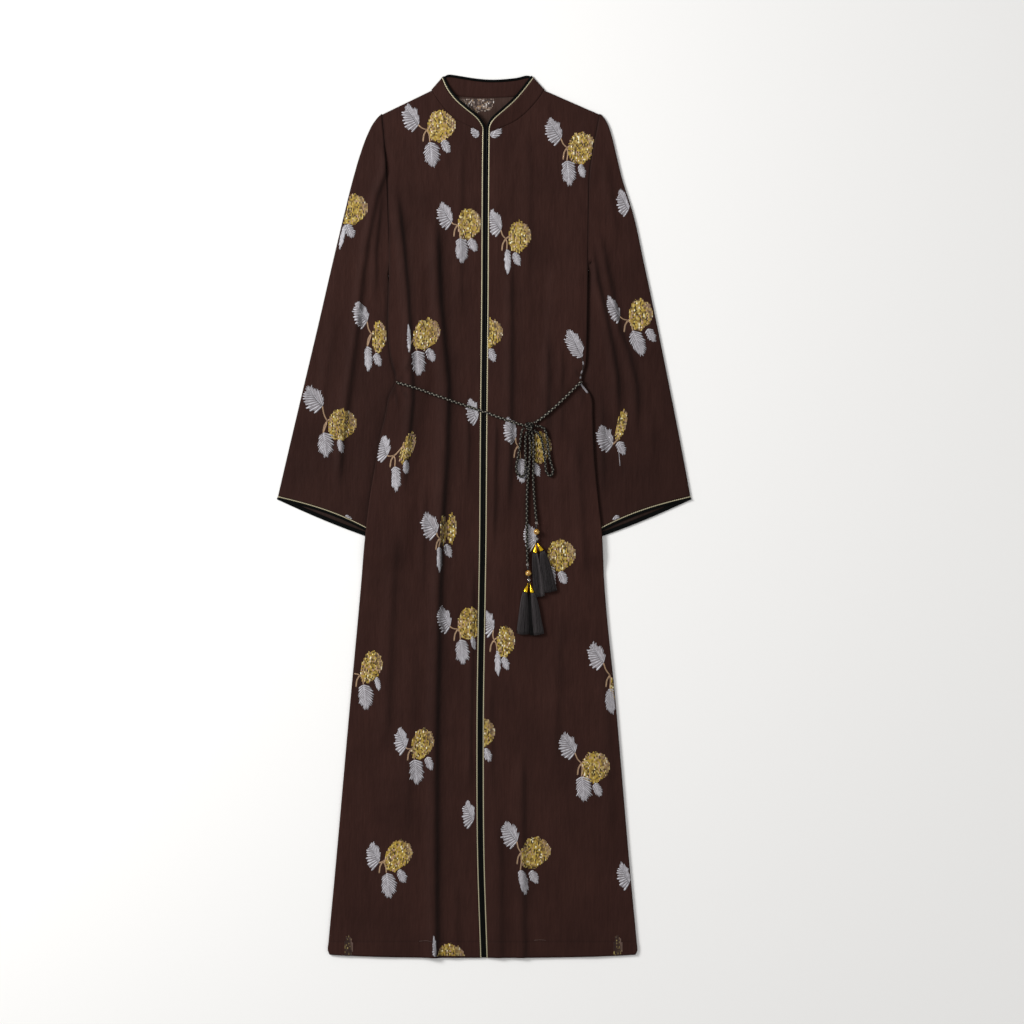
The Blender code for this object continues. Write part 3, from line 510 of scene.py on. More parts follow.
def brocade(name, dark, light):
    """Streaks 1.5 mm wide and 40 mm long, cloudy patches, a 2 mm weave and shallow wrinkles."""
    made, tree, shader = new_finish(name, Roughness=0.72)
    place = add_node(tree, "TexCoord", {}).outputs["Object"]
    long_way = add_node(tree, "Mapping", {"Vector": place, "Scale": (650.0, 24.0, 200.0)})
    streaks = add_node(tree, "TexNoise", {"Vector": long_way, "Scale": 1.0, "Detail": 4.0, "Roughness": 0.7})
    patches = add_node(tree, "TexNoise", {"Vector": place, "Scale": 9.0, "Detail": 3.0, "Roughness": 0.6})
    both = add_node(tree, "Math", {0: streaks, 1: patches}, operation="MULTIPLY")
    tone = add_node(tree, "MapRange", {"Value": both, "From Min": 0.14, "From Max": 0.4})
    colour = add_node(tree, "Mix", {0: tone, 6: linear(dark), 7: linear(light)}, data_type="RGBA").outputs[2]
    # Painted shade: the shade attribute, from the folds, creases, seams and the gaps beside the body, darkens
    # the colour towards #0B0706.
    shade = add_node(tree, "Attribute", {}, attribute_name="shade").outputs["Fac"]
    colour = add_node(tree, "Mix", {0: shade, 6: colour, 7: linear("#0B0706")}, data_type="RGBA").outputs[2]
    tree.links.new(colour, shader.inputs["Base Color"])
    warp = add_node(tree, "TexWave", {"Vector": place, "Scale": 160.0}, bands_direction="X")
    weft = add_node(tree, "TexWave", {"Vector": place, "Scale": 160.0}, bands_direction="Y")
    weave = add_node(tree, "Math", {0: warp, 1: weft}, operation="ADD")
    soft = add_node(tree, "Mapping", {"Vector": place, "Scale": (55.0, 22.0, 20.0)})
    wrinkles = add_node(tree, "TexNoise", {"Vector": soft, "Scale": 1.0, "Detail": 5.0, "Roughness": 0.55})
    fine = add_node(tree, "Bump", {"Height": weave, "Strength": 0.25, "Distance": 0.0002})
    bump = add_node(tree, "Bump", {"Height": wrinkles, "Normal": fine, "Strength": 0.4, "Distance": 0.006})
    tree.links.new(bump.outputs[0], shader.inputs["Normal"])
    shader.inputs["Sheen Weight"].default_value = 0.03
    shader.inputs["Sheen Roughness"].default_value = 0.5
    shader.inputs["Specular IOR Level"].default_value = 0.06
    return made


right_side = brocade("dark brown brocade, right side", GROUND, GROUND_LIGHT)
wrong_side = brocade("dark brown brocade, wrong side", WRONG_SIDE, "#453430")


def give_wall(piece):
    """The cloth's thickness, half each way; the far side takes the second finish."""
    thickness = piece.modifiers.new("cloth thickness", "SOLIDIFY")
    thickness.thickness = WALL / 1000
    thickness.offset = 0.0
    thickness.material_offset = 1


# Back: one piece from the neck to the hem, flat on the floor, its wrong side up. It is seen
# through the neck and at the hem, and its shoulders run straight to the collar's seam.

SHOULDER = 1348.0
SHOULDERS = ((-120, 1368.5), (138, 1367.5))
COLLAR_BACK = (
    (-83.5, 1387, -66.7, 1406.5), (-66, 1381.5, -58, 1409.6), (-40, 1377.5, -40, 1407.5),
    (-12, 1375.5, -11, 1403), (18, 1375.5, 18, 1401.4), (48, 1377, 50, 1404), (78, 1382, 70, 1408.2),
    (95.7, 1387, 78, 1406.5),
)
HEM_RISE = 5.0


def hem_rise(y, share):
    """The hem's ends lie 5 mm higher than its middle, fading out over its lowest 12 mm."""
    return HEM_RISE * share**3 * np.clip(1 - y / 12, 0, 1)


top = np.array([(side_x(SHOULDER, -1), SHOULDER), SHOULDERS[0]] + [(x, y - 0.2) for x, y, _, _ in COLLAR_BACK]
               + [SHOULDERS[1], (side_x(SHOULDER, 1), SHOULDER)], float)
top = evenly(top, 1.0)
columns = np.linspace(0, 1, 67)
y = np.concatenate((np.linspace(0, 12, 4), np.linspace(18, ARMHOLE_FOOT, 150)))[:, None]
left, right = side_x(y, -1), side_x(y, 1)
x = left + (right - left) * columns
share = np.abs(2 * columns - 1)
middle = curve_through(OPENING[:, 0], OPENING[:, 1], y)
height = np.where(
    x < middle, body_lift(np.minimum(x, middle - 8), y, -1), body_lift(np.maximum(x, middle + 8), y, 1)
)
low = np.stack((x, y + hem_rise(y, share), BACK_Z + height), axis=-1)
# Above the armholes the rows bend up to the shoulders, and their ends keep to the armholes.
top = top[np.round(columns * (len(top) - 1)).astype(int)]
step = np.linspace(0, 1, 33)[1:, None]
x = low[-1, :, 0] + (top[:, 0] - low[-1, :, 0]) * step
y = ARMHOLE_FOOT + (top[:, 1] - ARMHOLE_FOOT) * step
x[:, 0], x[:, -1] = side_x(y[:, 0], -1), side_x(y[:, -1], 1)
points = np.concatenate((low, np.stack((x, y, np.full_like(x, BACK_Z)), axis=-1)))
faces = grid_faces(*points.shape[:2])[:, ::-1]
back = add_piece("back_cloth", points, faces, (wrong_side, right_side), "brown_brocade", "back")
give_wall(back)


# Sleeves: each is one tube of the brocade, sewn along its under edge and into
# the armhole. It lies pressed flat on the floor, the body's side over its
# inner edge, and the cuff's upper layer is drawn back so its inside shows.

SLEEVE_OUTER = np.array((
    (1348.5, 164.0, 185.0), (1344, 169, 190), (1333, 177.5, 197), (1314, 187, 203.5), (1285, 197.5, 210.5),
    (1245, 209, 220), (1190, 222.5, 237), (1110, 241.5, 254.5), (1010, 264.5, 275.5), (900, 290.5, 297.5),
    (800, 314, 317), (737, 328.6, 328.6),
))
SLEEVE_INNER = np.array((
    (1113, 154.2, 168.2), (1082, 155.4, 168.8), (1040, 141, 153), (990, 126, 137), (921, 117, 126),
    (868, 121, 130), (794, 131, 133), (733, 139, 138), (664, 146, 145),
))
HEAD_SHARE = 0.32
CUFF_BOW = {"upper": -9.0, "under": 3.0}
BOW_FROM = 0.72
CUFF_SHADE = 0.55  # of the under layer, which is seen only inside the cuff
FOLDS_SLEEVE = {
    -1: (
        (7, 3.0, 0.3, (1321, -180), (1298, -167), (1279, -157), (1257, -159), (1220, -173), (1148, -188),
         (1092, -196),
         (1004, -205), (908, -218), (812, -230), (730, -236)),
        (6, 1.9, 0.3, (1244, -162), (1196, -168), (1132, -175), (1036, -176)),
        (8, 1.0, 0.1, (1036, -240), (940, -253), (844, -266)),
    ),
    1: (
        (7, 2.8, 0.38, (1156, 169), (1084, 179), (1039, 190), (969, 204), (924, 211), (844, 214)),
        (8, 2.6, 0.33, (1172, 182), (1113, 192), (1076, 200), (1004, 214), (969, 228), (916, 241),
         (828, 243)),
        (9, 1.2, 0.12, (1300, 192), (1212, 201), (1132, 214)),
        (8, 1.4, 0.2, (924, 185), (812, 187), (716, 188)),
        (8, 1.0, 0.12, (892, 265), (764, 270)),
    ),
}


def sleeve_edge(table, side, along):
    """Point of a sleeve's edge at a share of its length, and the length itself."""
    points = np.stack((side * table[:, 1 if side < 0 else 2], table[:, 0]), axis=1)
    lengths = sum_of_steps(points)
    return curve_through(lengths / lengths[-1], points, along)


def sleeve_relief(x, y, side):
    """Height and shade of a sleeve's upper layer, flat where the body lies on it and at its seams.

    The shade is deepest in the gap beside the body, below the armhole, and the lower sleeve is a little
    darker.
    """
    from_body = side * (x - side_x(y, side))
    free = np.where(y < ARMHOLE_FOOT, ease((from_body - 2) / 12), 1.0)
    outer = np.interp(-y, -SLEEVE_OUTER[:, 0], SLEEVE_OUTER[:, 1 if side < 0 else 2])
    free = free * ease((outer - side * x) / 12)
    folds, shade = fold_lines(FOLDS_SLEEVE[side], x, y)
    gap = 0.35 + 0.4 * ease((y - 940) / 60) * ease((1120 - y) / 40)
    beside = np.exp(-np.abs(from_body) / np.where(y < ARMHOLE_FOOT, 4.0, 1.5)) * gap
    lower = 0.16 * ease((1080 - y) / 220)
    return FRONT_Z + (folds + 0.8 * slack_height(x + 400, y)) * free, np.clip(shade + beside + lower, 0, 0.8)


def sleeve_layer(side, along, across, past_end, layer):
    """Plan points of one layer, straight from edge to edge but for the armhole and the cuff's bow."""
    outer, inner = (sleeve_edge(table, side, along)[:, None, :] for table in (SLEEVE_OUTER, SLEEVE_INNER))
    line = unit(inner - outer)
    down = np.stack((-side * line[..., 1], side * line[..., 0]), axis=-1)
    head = [sleeve_edge(table, side, np.zeros(1))[0] for table in (SLEEVE_OUTER, SLEEVE_INNER)]
    chord = head[0] + (head[1] - head[0]) * across[:, None]
    follow = side_x(chord[:, 1], side) - chord[:, 0]
    bow = np.clip((along - BOW_FROM) / (1 - BOW_FROM), 0, 1)[:, None] ** 2
    drop = past_end[:, None] + bow * CUFF_BOW[layer] * np.sin(math.pi * across)[None, :]
    points = outer + (inner - outer) * across[None, :, None] + down * drop[..., None]
    points[..., 0] += follow * (1 - ease(along / HEAD_SHARE))[:, None]
    return points, down


def sleeve_rings(side, along, past_end):
    """Sections of the sleeve's cloth, over the top and back underneath, with a half circle at each fold.

    The other results are the direction down the sleeve at each point and how shaded it is.
    """
    across = np.linspace(0, 1, 58)
    upper, down = sleeve_layer(side, along, across, past_end, "upper")
    under, _ = sleeve_layer(side, along, across, past_end, "under")
    height, shade = sleeve_relief(upper[..., 0], upper[..., 1], side)
    upper = np.dstack((upper, height))
    under = np.dstack((under, np.full(under.shape[:2], BACK_Z)))
    turn = np.radians((30, 60, 90, 120, 150))[None, :, None]
    radius = (FRONT_Z - BACK_Z) / 2
    arcs = []
    for edge, far in ((upper[:, -1], upper[:, -2]), (under[:, 0], under[:, 1])):
        away = unit(edge[:, :2] - far[:, :2])
        plan = edge[:, None, :2] + away[:, None] * radius * np.sin(turn)
        rise = BACK_Z + radius + radius * np.cos(turn[..., 0])
        arcs.append(np.dstack((plan, np.broadcast_to(rise, plan.shape[:2]))))
    rings = np.concatenate((upper, arcs[0], under[:, ::-1], arcs[1][:, ::-1]), axis=1)
    down = np.broadcast_to(np.dstack((down, np.zeros(down.shape[:2]))), rings.shape)
    return rings, down, np.hstack((shade, np.full((len(rings), rings.shape[1] - shade.shape[1]), CUFF_SHADE)))


for side, name in ((-1, "right"), (1, "left")):
    along = np.linspace(0, 1, 150)
    past_end = np.where(along == 1, -CLOTH_START, 0.0)
    points, _, shade = sleeve_rings(side, along, past_end)
    faces = facing_out(points, grid_faces(*points.shape[:2], False, True))
    sleeve = add_piece(
        "sleeve_cloth_" + name, points, faces, (right_side, wrong_side), "brown_brocade", "sleeve_" + name,
        shade=shade,
    )
    give_wall(sleeve)


# Fronts: two open pieces that lie on the back, the sleeves under their sides. Each is sewn
# to the back at the shoulder and side, has a turned-up hem and takes long soft folds.

COLLAR_FRONT = np.array((
    (1322.6, -5.8, 12.0, 1322.0, -1.8, 8.0),
    (1324.2, -10, 17, 1328.5, -2.6, 8.8),
    (1327.5, -17, 26, 1336.5, -7, 12.5),
    (1332, -28, 38, 1345, -14.5, 20.5),
    (1340.5, -44, 54, 1357.5, -30, 35),
    (1355, -61, 71, 1371, -45, 49.5),
    (1375.5, -76.5, 88.5, 1388, -58, 64),
    (1387, -83.5, 95.7, 1406.5, -66.7, 78),
))
NECK_ROWS_OUTER = np.array((1290, 1303, 1314, 1325, 1333, 1341, SHOULDER))
NECK_FOOT = 1321.5


def front_ends(side):
    """Both ends of each row of a front: level up to the armhole, then fanning out to neck and shoulder."""
    y = np.concatenate((np.linspace(0, 12, 4), np.linspace(16, 34, 10), np.linspace(39, NECK_FOOT, 258)))
    outer_y = np.where(y > ARMHOLE_FOOT, ARMHOLE_FOOT + (y - ARMHOLE_FOOT) * 0.81, y)
    inner = np.stack((piping_x(y, side) + side * CLOTH_START, y), axis=1)
    neck_x = COLLAR_FRONT[1:, 1 if side < 0 else 2]
    rows = np.linspace(0, 7, 30)[1:]
    neck_y = COLLAR_FRONT[1:, 0] - 0.2
    neck = np.vstack((inner[-1:], np.stack((neck_x, neck_y), axis=1)))
    neck = curve_through(np.arange(8.0), neck, rows)
    neck_outer = curve_through(np.arange(8.0), np.concatenate((outer_y[-1:], NECK_ROWS_OUTER)), rows)
    outer_y = np.concatenate((outer_y, neck_outer))
    return np.vstack((inner, neck)), np.stack((side_x(outer_y, side), outer_y), axis=1)


for side, name in ((-1, "right"), (1, "left")):
    inner, outer = front_ends(side)
    share = np.linspace(0, 1, 96)[None, :, None]
    plan = inner[:, None] + (outer - inner)[:, None] * share
    x, y = plan[..., 0], plan[..., 1]
    y = y + hem_rise(y, share[..., 0])
    height, shade = front_relief(x, y, side)
    points = np.dstack((x, y, height))
    faces = grid_faces(*points.shape[:2])
    faces = faces if side < 0 else faces[:, ::-1]
    front = add_piece(
        "front_cloth_" + name, points, faces, (right_side, wrong_side), "brown_brocade", "front_" + name,
        shade=shade,
    )
    give_wall(front)


# Collar: one stand band of the brocade, sewn round the neck and tapering to the front edges. Its
# front halves stand up a little, and it turns over at the sides of the neck to lie flat at the back.

COLLAR_RISE = 5.0
COLLAR_BACK_Z = BACK_Z + 0.1


def collar_rails():
    """Neck seam and piping line from the right front edge round to the left one, as rows of six numbers."""
    index = np.linspace(0, 7, 50)
    table = curve_through(np.arange(8.0), COLLAR_FRONT, index)
    rise = FRONT_Z + COLLAR_RISE * np.sin(math.pi * index / 7).clip(0) ** 1.5
    flat = np.full_like(rise, FRONT_Z)
    halves = [np.stack((table[:, seam], table[:, 0], flat, table[:, line], table[:, 3], rise), axis=1)
              for seam, line in ((1, 4), (2, 5))]
    radius = (FRONT_Z - COLLAR_BACK_Z) / 2
    turns = np.radians((30, 60, 90, 120, 150))[:, None]
    folds = []
    for half, side in zip(halves, (-1, 1)):
        seam, line = half[-1, :3], half[-1, 3:]
        run = unit((line - seam)[:2])
        away = np.array((side * abs(run[1]), abs(run[0])))
        ring = np.hstack((away * radius * np.sin(turns), COLLAR_BACK_Z + radius + radius * np.cos(turns)))
        folds.append(np.hstack([ring + (*point[:2], 0) for point in (seam, line)]))
    table = np.array(COLLAR_BACK, float)
    along = sum_of_steps(table[:, :2])
    table = curve_through(along, table, np.linspace(0, along[-1], 60))
    low = np.full(len(table), COLLAR_BACK_Z)
    behind = np.stack((table[:, 0], table[:, 1], low, table[:, 2], table[:, 3], low), axis=1)
    return np.vstack((halves[0], folds[0], behind, folds[1][::-1], halves[1][::-1]))


rails = collar_rails()
seam, line = rails[:, :3], rails[:, 3:]
toward = unit(line - seam)
share = np.linspace(0, 1, 9)[:, None, None]
points = seam[None] + (line - toward * CLOTH_START - seam)[None] * share
faces = grid_faces(*points.shape[:2])
collar = add_piece("collar_cloth", points, faces, (right_side, right_side), "brown_brocade", "collar")
give_wall(collar)


# Piping and binding: a twisted pale gold cord, 2 mm round, is sewn in between
# the cloth and a narrow bias strip of black satin that is folded over the raw
# edge. They run up one front, round the collar and down the other.

PIPING_RADIUS = 1.0
TWIST = 3.4  # length of one turn of the piping's two plies, twice the real one so that it shows
BINDING_FROM, BINDING_WIDTH = 0.9, 4.0


def edge_path():
    """Piping line, direction towards the opening, and 1 where the binding covers it: behind the neck."""
    parts = []
    for side in (-1, 1):
        y = np.linspace(0.4, 1320.5, 560)
        x = piping_x(y, side)
        z, _ = front_relief(x + side * 1.5, y, side)
        path = np.stack((x, y, z), axis=1)
        parts.append((path, np.broadcast_to((-side, 0.0, 0.0), path.shape)))
    (right, right_toward), (left, left_toward) = parts
    behind = (rails[:, 5] < FRONT_Z - 1) * 1.0
    covered = np.concatenate((np.zeros(len(right)), behind, np.zeros(len(left))))
    return np.column_stack((
        np.vstack((right, rails[:, 3:], left[::-1])),
        np.vstack((right_toward, toward, left_toward[::-1])),
        covered,
    ))


def square_up(path, toward, closed=False):
    """Direction square to the path and to the toward direction, on the side that is up at the start."""
    return unit(np.cross(toward, tangents(path, closed)))


def smoothed(rows, width):
    """Running average of a few rows, which rounds the bends; the ends are kept."""
    padded = np.vstack([rows[:1]] * width + [rows] + [rows[-1:]] * width)
    total = np.cumsum(np.vstack((np.zeros((1, rows.shape[1])), padded)), axis=0)
    mean = (total[2 * width + 1 :] - total[: -2 * width - 1]) / (2 * width + 1)
    share = ease(np.minimum(np.arange(len(rows)), np.arange(len(rows))[::-1]) / width)[:, None]
    return rows * (1 - share) + mean * share


def piping_skin(path, toward, closed=False):
    """Two plies twisted together: the cosine of twice the turn less the twist swells the radius, and is
    returned for the painted shade in the groove.
    """
    up = square_up(path, toward, closed)
    along = sum_of_steps(path)[:, None]
    turn = (np.arange(10) * 2 * math.pi / 10)[None, :]
    ply = np.cos(2 * turn - 2 * math.pi * along / TWIST)
    points, _ = tube_points(path, toward, up, PIPING_RADIUS * (0.92 + 0.16 * ply), 10)
    points[..., 2] = np.maximum(points[..., 2], 0.0)
    return points, 0.5 + 0.5 * ply


def binding_skin(path, toward, covered, tucked, closed=False):
    """Flat fold of satin: an oval 4 mm by 1.7 mm whose ends are blunt, beside the piping.

    On the garment's inside the fold is felled over the piping: there it starts 2.3 mm sooner and is thicker.
    Behind the neck it is also tucked in, so that it ends sooner.
    """
    up = square_up(path, toward, closed)
    turn = np.arange(16) * 2 * math.pi / 16
    width = (BINDING_WIDTH + 2.3 * covered - tucked)[:, None]
    out = np.sign(np.cos(turn)) * np.abs(np.cos(turn)) ** 0.7 * width / 2
    high = np.sign(np.sin(turn)) * np.abs(np.sin(turn)) ** 0.7 * (0.85 + 0.45 * covered)[:, None]
    reach = BINDING_FROM + BINDING_WIDTH - np.reshape(tucked, (-1, 1))
    middle = path + toward * (reach - width / 2) + np.outer(covered, (0.0, 0.0, 0.6))
    points = middle[:, None] + out[..., None] * toward[:, None] + high[..., None] * up[:, None]
    points[..., 2] = np.maximum(points[..., 2], 0.0)
    return points


piping_finish, tree, shader = new_finish("pale gold metallic piping", Roughness=0.42, Metallic=0.35)
# Metallic yarn twisted round a cotton core: pale gold along each ply, and painted shade turns it brown in the
# groove between them.
ply = add_node(tree, "Attribute", {}, attribute_name="ply").outputs["Fac"]
gold = add_node(
    tree, "Mix", {0: ply, 6: linear("#6F6345"), 7: linear("#D8CFAE")}, data_type="RGBA"
).outputs[2]
tree.links.new(gold, shader.inputs["Base Color"])

satin_finish, tree, shader = new_finish(
    "black satin bias binding", Base_Color=linear("#040505"), Roughness=0.42
)
# Satin floats lie across the strip, so it has a broad dull gloss with faint ridges 2 mm apart.
place = add_node(tree, "TexCoord", {}).outputs["Object"]
floats = add_node(tree, "TexNoise", {"Vector": place, "Scale": 500.0, "Detail": 2.0})
ridges = add_node(tree, "Bump", {"Height": floats, "Strength": 0.4, "Distance": 0.0004})
tree.links.new(ridges.outputs[0], shader.inputs["Normal"])
shader.inputs["Specular IOR Level"].default_value = 0.06

both = evenly(smoothed(edge_path(), 1), 1.35)
path, toward, covered = both[:, :3], unit(both[:, 3:6]), both[:, 6]
points, ply = piping_skin(path, toward)
add_piece(
    "edge_piping_twist", points, tube_faces(points), piping_finish, "gold_braid", "edge_piping", ply=ply
)
points = binding_skin(path[::2], toward[::2], covered[::2], 2.0 * covered[::2])
add_piece("edge_binding_fold", points, tube_faces(points), satin_finish, "black_satin", "edge_binding")

# The cuffs have the same two trims, round each sleeve's open end, which shows its inside on the under layer.
for side, name in ((-1, "right"), (1, "left")):
    ring, down, _ = sleeve_rings(side, np.ones(1), np.zeros(1))
    both = np.column_stack((ring[0], down[0], ring[0][:, 2] < BACK_Z + 0.4))
    both = evenly(np.vstack((both, both[:1])), 1.35)[:-1]
    path, toward = both[:, :3], unit(both[:, 3:6])
    points, ply = piping_skin(path, toward, True)
    add_piece(
        "cuff_piping_twist_" + name, points, tube_faces(points, True), piping_finish, "gold_braid",
        "cuff_piping_" + name, ply=ply,
    )
    points = binding_skin(path, toward, both[:, 6], 0.0, True)
    add_piece(
        "cuff_binding_fold_" + name, points, tube_faces(points, True), satin_finish, "black_satin",
        "cuff_binding_" + name,
    )


# Beads: on each free end a small clear bead, a marbled amber
# one and another clear one, strung on the cord's core.

CORE_RADIUS = 1.3
BEADS = {
    "upper_bead_right": ((69.2, 628.5, 7.0), 2.4, (70.3, 620.1, 7.5)),
    "gold_bead_right": ((70.6, 615.2, 7.75), 4.6, (71.6, 606.95, 7.4)),
    "lower_bead_right": ((71.8, 604.2, 7.2), 2.4, (71.8, 600.3, 7.05)),
    "upper_bead_left": ((83.6, 695.2, 7.0), 2.4, (83.7, 685.95, 7.5)),
    "gold_bead_left": ((83.8, 681.0, 7.75), 4.6, (83.95, 672.4, 7.4)),
    "lower_bead_left": ((84.0, 669.6, 7.2), 2.4, (83.7, 664.0, 7.05)),
}

clear_glass, tree, shader = new_finish(
    "clear pressed glass", Base_Color=linear("#E9E6DF"), Roughness=0.06, IOR=1.5, Transmission_Weight=0.85
)
amber_glass, tree, shader = new_finish("marbled amber lampwork glass", Roughness=0.08, IOR=1.5)
# Glass rods of amber, gold and brown are wound together: clouds some 3 mm across under a hard gloss.
place = add_node(tree, "TexCoord", {}).outputs["Object"]
clouds = add_node(tree, "TexNoise", {"Vector": place, "Scale": 330.0, "Detail": 2.0, "Distortion": 1.5})
amber = add_node(tree, "ValToRGB", {"Fac": clouds})
amber.color_ramp.elements[0].position, amber.color_ramp.elements[0].color = 0.36, linear("#1E0F05")
amber.color_ramp.elements[1].position, amber.color_ramp.elements[1].color = 0.66, linear("#E9C56A")
amber.color_ramp.elements.new(0.5).color = linear("#A26A16")
tree.links.new(amber.outputs[0], shader.inputs["Base Color"])
shader.inputs["Coat Weight"].default_value = 0.6

core_finish, tree, shader = new_finish("waxed black cotton core", Base_Color=linear("#151211"), Roughness=0.5)


def turned(top, foot, profile, sides):
    """Skin turned about the line from top to foot: rows of the distance down it and the radius there."""
    top, foot = np.array(top, float), np.array(foot, float)
    axis = unit(foot - top)
    profile = np.array(profile, float)
    line = top + axis * profile[:, :1]
    across, up = level_frame(axis)
    count = len(line)
    points, _ = tube_points(line, np.tile(across, (count, 1)), np.tile(up, (count, 1)), profile[:, 1:], sides)
    return points


hardware = []
for name, (centre, radius, foot) in BEADS.items():
    centre, foot = np.array(centre), np.array(foot)
    axis = unit(foot - centre)
    hole = math.asin(0.75 / radius)
    turn = np.linspace(hole, math.pi - hole, 18)
    profile = np.stack((radius - radius * np.cos(turn), radius * np.sin(turn)), axis=1)
    points = turned(centre - axis * radius, foot, profile, 28)
    glass, slot = (amber_glass, "amber_glass") if "gold" in name else (clear_glass, "clear_glass")
    bead = add_piece(name + "_glass", points, tube_faces(points), glass, slot, name)
    length = np.linalg.norm(foot - centre) - radius * 0.9
    profile = [(length * share, CORE_RADIUS) for share in (0, 0.5, 1)]
    points = turned(centre + axis * radius * 0.9, foot, profile, 12)
    core = add_piece(name + "_core", points, tube_faces(points), core_finish, "black_cord")
    hardware += [bead, core]


# Tassels: two on each end. A polished gold-plated cone on a thin wire holds the
# gathered head of a bundle of black silk strands, which fan out to their cut ends.

TASSELS = {
    "right_outer": ((70.6, 599.8, 7.0), (65.6, 584.9, 6.9), (65.2, 581.8, 6.9), (61.9, 518.5, 6.1), 10.0),
    "right_inner": ((73.0, 599.8, 7.0), (76.7, 583.8, 6.9), (77.2, 580.7, 6.9), (84.6, 517.5, 6.1), 11.4),
    "left_inner": ((82.6, 663.5, 7.0), (81.2, 647.6, 6.9), (81.4, 644.4, 6.9), (87.4, 578.6, 6.1), 8.8),
    "left_outer": ((84.9, 663.4, 7.0), (92.3, 651.0, 6.9), (94.0, 647.5, 6.9), (105.3, 586.0, 6.1), 12.0),
}
STRANDS = 130
STRAND_RADIUS = 0.42

plated, tree, shader = new_finish(
    "polished gold plate", Base_Color=linear("#EFC32A"), Roughness=0.16, Metallic=1.0
)
silk, tree, shader = new_finish("black rayon silk strands", Roughness=0.38)
# Each strand catches the light a little differently, from near black to dark grey, with a lengthwise gloss.
tone = add_node(tree, "Attribute", {}, attribute_name="tone").outputs["Fac"]
black = add_node(
    tree, "Mix", {0: tone, 6: linear("#100E0E"), 7: linear("#5A5455")}, data_type="RGBA"
).outputs[2]
tree.links.new(black, shader.inputs["Base Color"])
shader.inputs["Specular IOR Level"].default_value = 0.2


def bundle(lines, section):
    """Thin closed prisms, one along each line: a section's corners round every point, and two end faces."""
    count, rings, corners = len(lines), lines.shape[1], section.shape[-2]
    points = lines[:, :, None, :] + section
    start = (np.arange(count) * rings * corners)[:, None, None]
    ring = (np.arange(rings - 1) * corners)[None, :, None]
    corner, beside = np.arange(corners), (np.arange(corners) + 1) % corners
    base = start + ring
    faces = (base + corner, base + beside, base + corners + beside, base + corners + corner)
    faces = np.stack(faces, axis=-1).reshape(-1, 4)
    inward = enclosed(points[0], faces[: (rings - 1) * corners]) < 0
    first = start[:, 0] + corner[::-1]
    last = start[:, 0] + (rings - 1) * corners + corner
    if inward:
        faces, first, last = faces[:, ::-1], first[:, ::-1], last[:, ::-1]
    return points, faces.tolist() + first.tolist() + last.tolist()


for number, (place, (cap_top, cap_foot, root, tip, half_width)) in enumerate(TASSELS.items()):
    length = math.dist(cap_top, cap_foot)
    cone = [(0, 0.05), (0, 0.7), (length - 11.5, 0.7)]
    cone += [(length - 11.2 + 9.2 * t, 0.9 + 2.7 * t**0.8) for t in np.linspace(0, 1, 10)]
    cone += [(length - 1.0, 3.75), (length - 0.2, 3.6), (length - 0.2, 3.1)]
    cone += [(length - 1.5, 2.9), (length - 1.5, 0.05)]
    points = turned(cap_top, cap_foot, cone, 28)
    cap = add_piece("cap_plate_" + place, points, tube_faces(points), plated, "yellow_metal", "cap_" + place)

    root, tip = np.array(root), np.array(tip)
    along = tip - root
    across, up = level_frame(along)
    # Strands start at even places in a disc, by the golden angle, and drift a little from straight lines.
    order = np.arange(STRANDS)
    angle, out = order * 2.39996 + number, np.sqrt((order + 0.5) / STRANDS)
    u, v = out * np.cos(angle), out * np.sin(angle)
    reach = np.linspace(-0.05, 1.0, 14)[None, :] * (1 + 0.022 * np.sin(2.4 * order + number))[:, None]
    grown = np.clip(reach, 0, 1)
    wide = 3.6 + (half_width - 3.6) * grown**0.5
    deep = 2.9 - 0.4 * grown
    sway = 0.55 * grown * np.sin(5 * grown + 1.3 * order[:, None])
    lines = root + along * reach[..., None] + across * (u[:, None] * wide + sway)[..., None]
    lines = lines + up * (v[:, None] * deep)[..., None]
    corner = np.radians((90, 210, 330))[:, None]
    section = STRAND_RADIUS * (np.cos(corner) * across + np.sin(corner) * up)
    points, faces = bundle(lines, section)
    # Painted light: a share added to each pair's tones lightens the left pair, which the lamps leave darker,
    # so that both pairs look equally dark.
    tone = np.mod(order * 0.618, 1.0) ** 2 * 0.75 + (0.3 if "left" in place else -0.02)
    tone = np.repeat(np.clip(tone, 0, 1), points.shape[1] * points.shape[2])
    add_piece("tassel_strands_" + place, points, faces, silk, "black_silk", "tassel_" + place, tone=tone)
    hardware.append(cap)

for name, (piece, line) in cords.items():
    path = metres(line)
    facts = dict(
        length=float(sum_of_steps(path)[-1]), diameter=0.004, stiffness="limp",
        path=evenly(path, 0.004).tolist(),
    )
    if "waist" in name:
        tuple(path[0])
    elif "loop" in name:
        tuple(metres(KNOT))
    else:
        side = name.rsplit("_", 1)[1]
        tuple(metres(KNOT))


# Woven sprays: a flower of gold thread, a leaf to its upper left, two below it
# and tan stems, brocaded into the cloth. The threads float on its right side:
# side by side and upright in the flower, fanning out from a midrib in the leaves.

THREAD_PITCH = 1.9  # coarser than the real 0.4 mm, so that single threads show, as are the leaves' barbs
BARB_PITCH = 3.3

thread_finish, tree, shader = new_finish("rayon and metallic brocading thread", Roughness=0.5, Metallic=0.1)
# Silver-grey rayon and metallic gold yarns: each thread's
# colour comes from the drawn motif, under a soft gloss.
drawn = add_node(tree, "Attribute", {}, attribute_name="thread").outputs["Color"]
tree.links.new(drawn, shader.inputs["Base Color"])
shader.inputs["Specular IOR Level"].default_value = 0.3


def dyed(*colours):
    """Linear colours of some yarns, a row for each."""
    return np.array([linear(colour) for colour in colours])


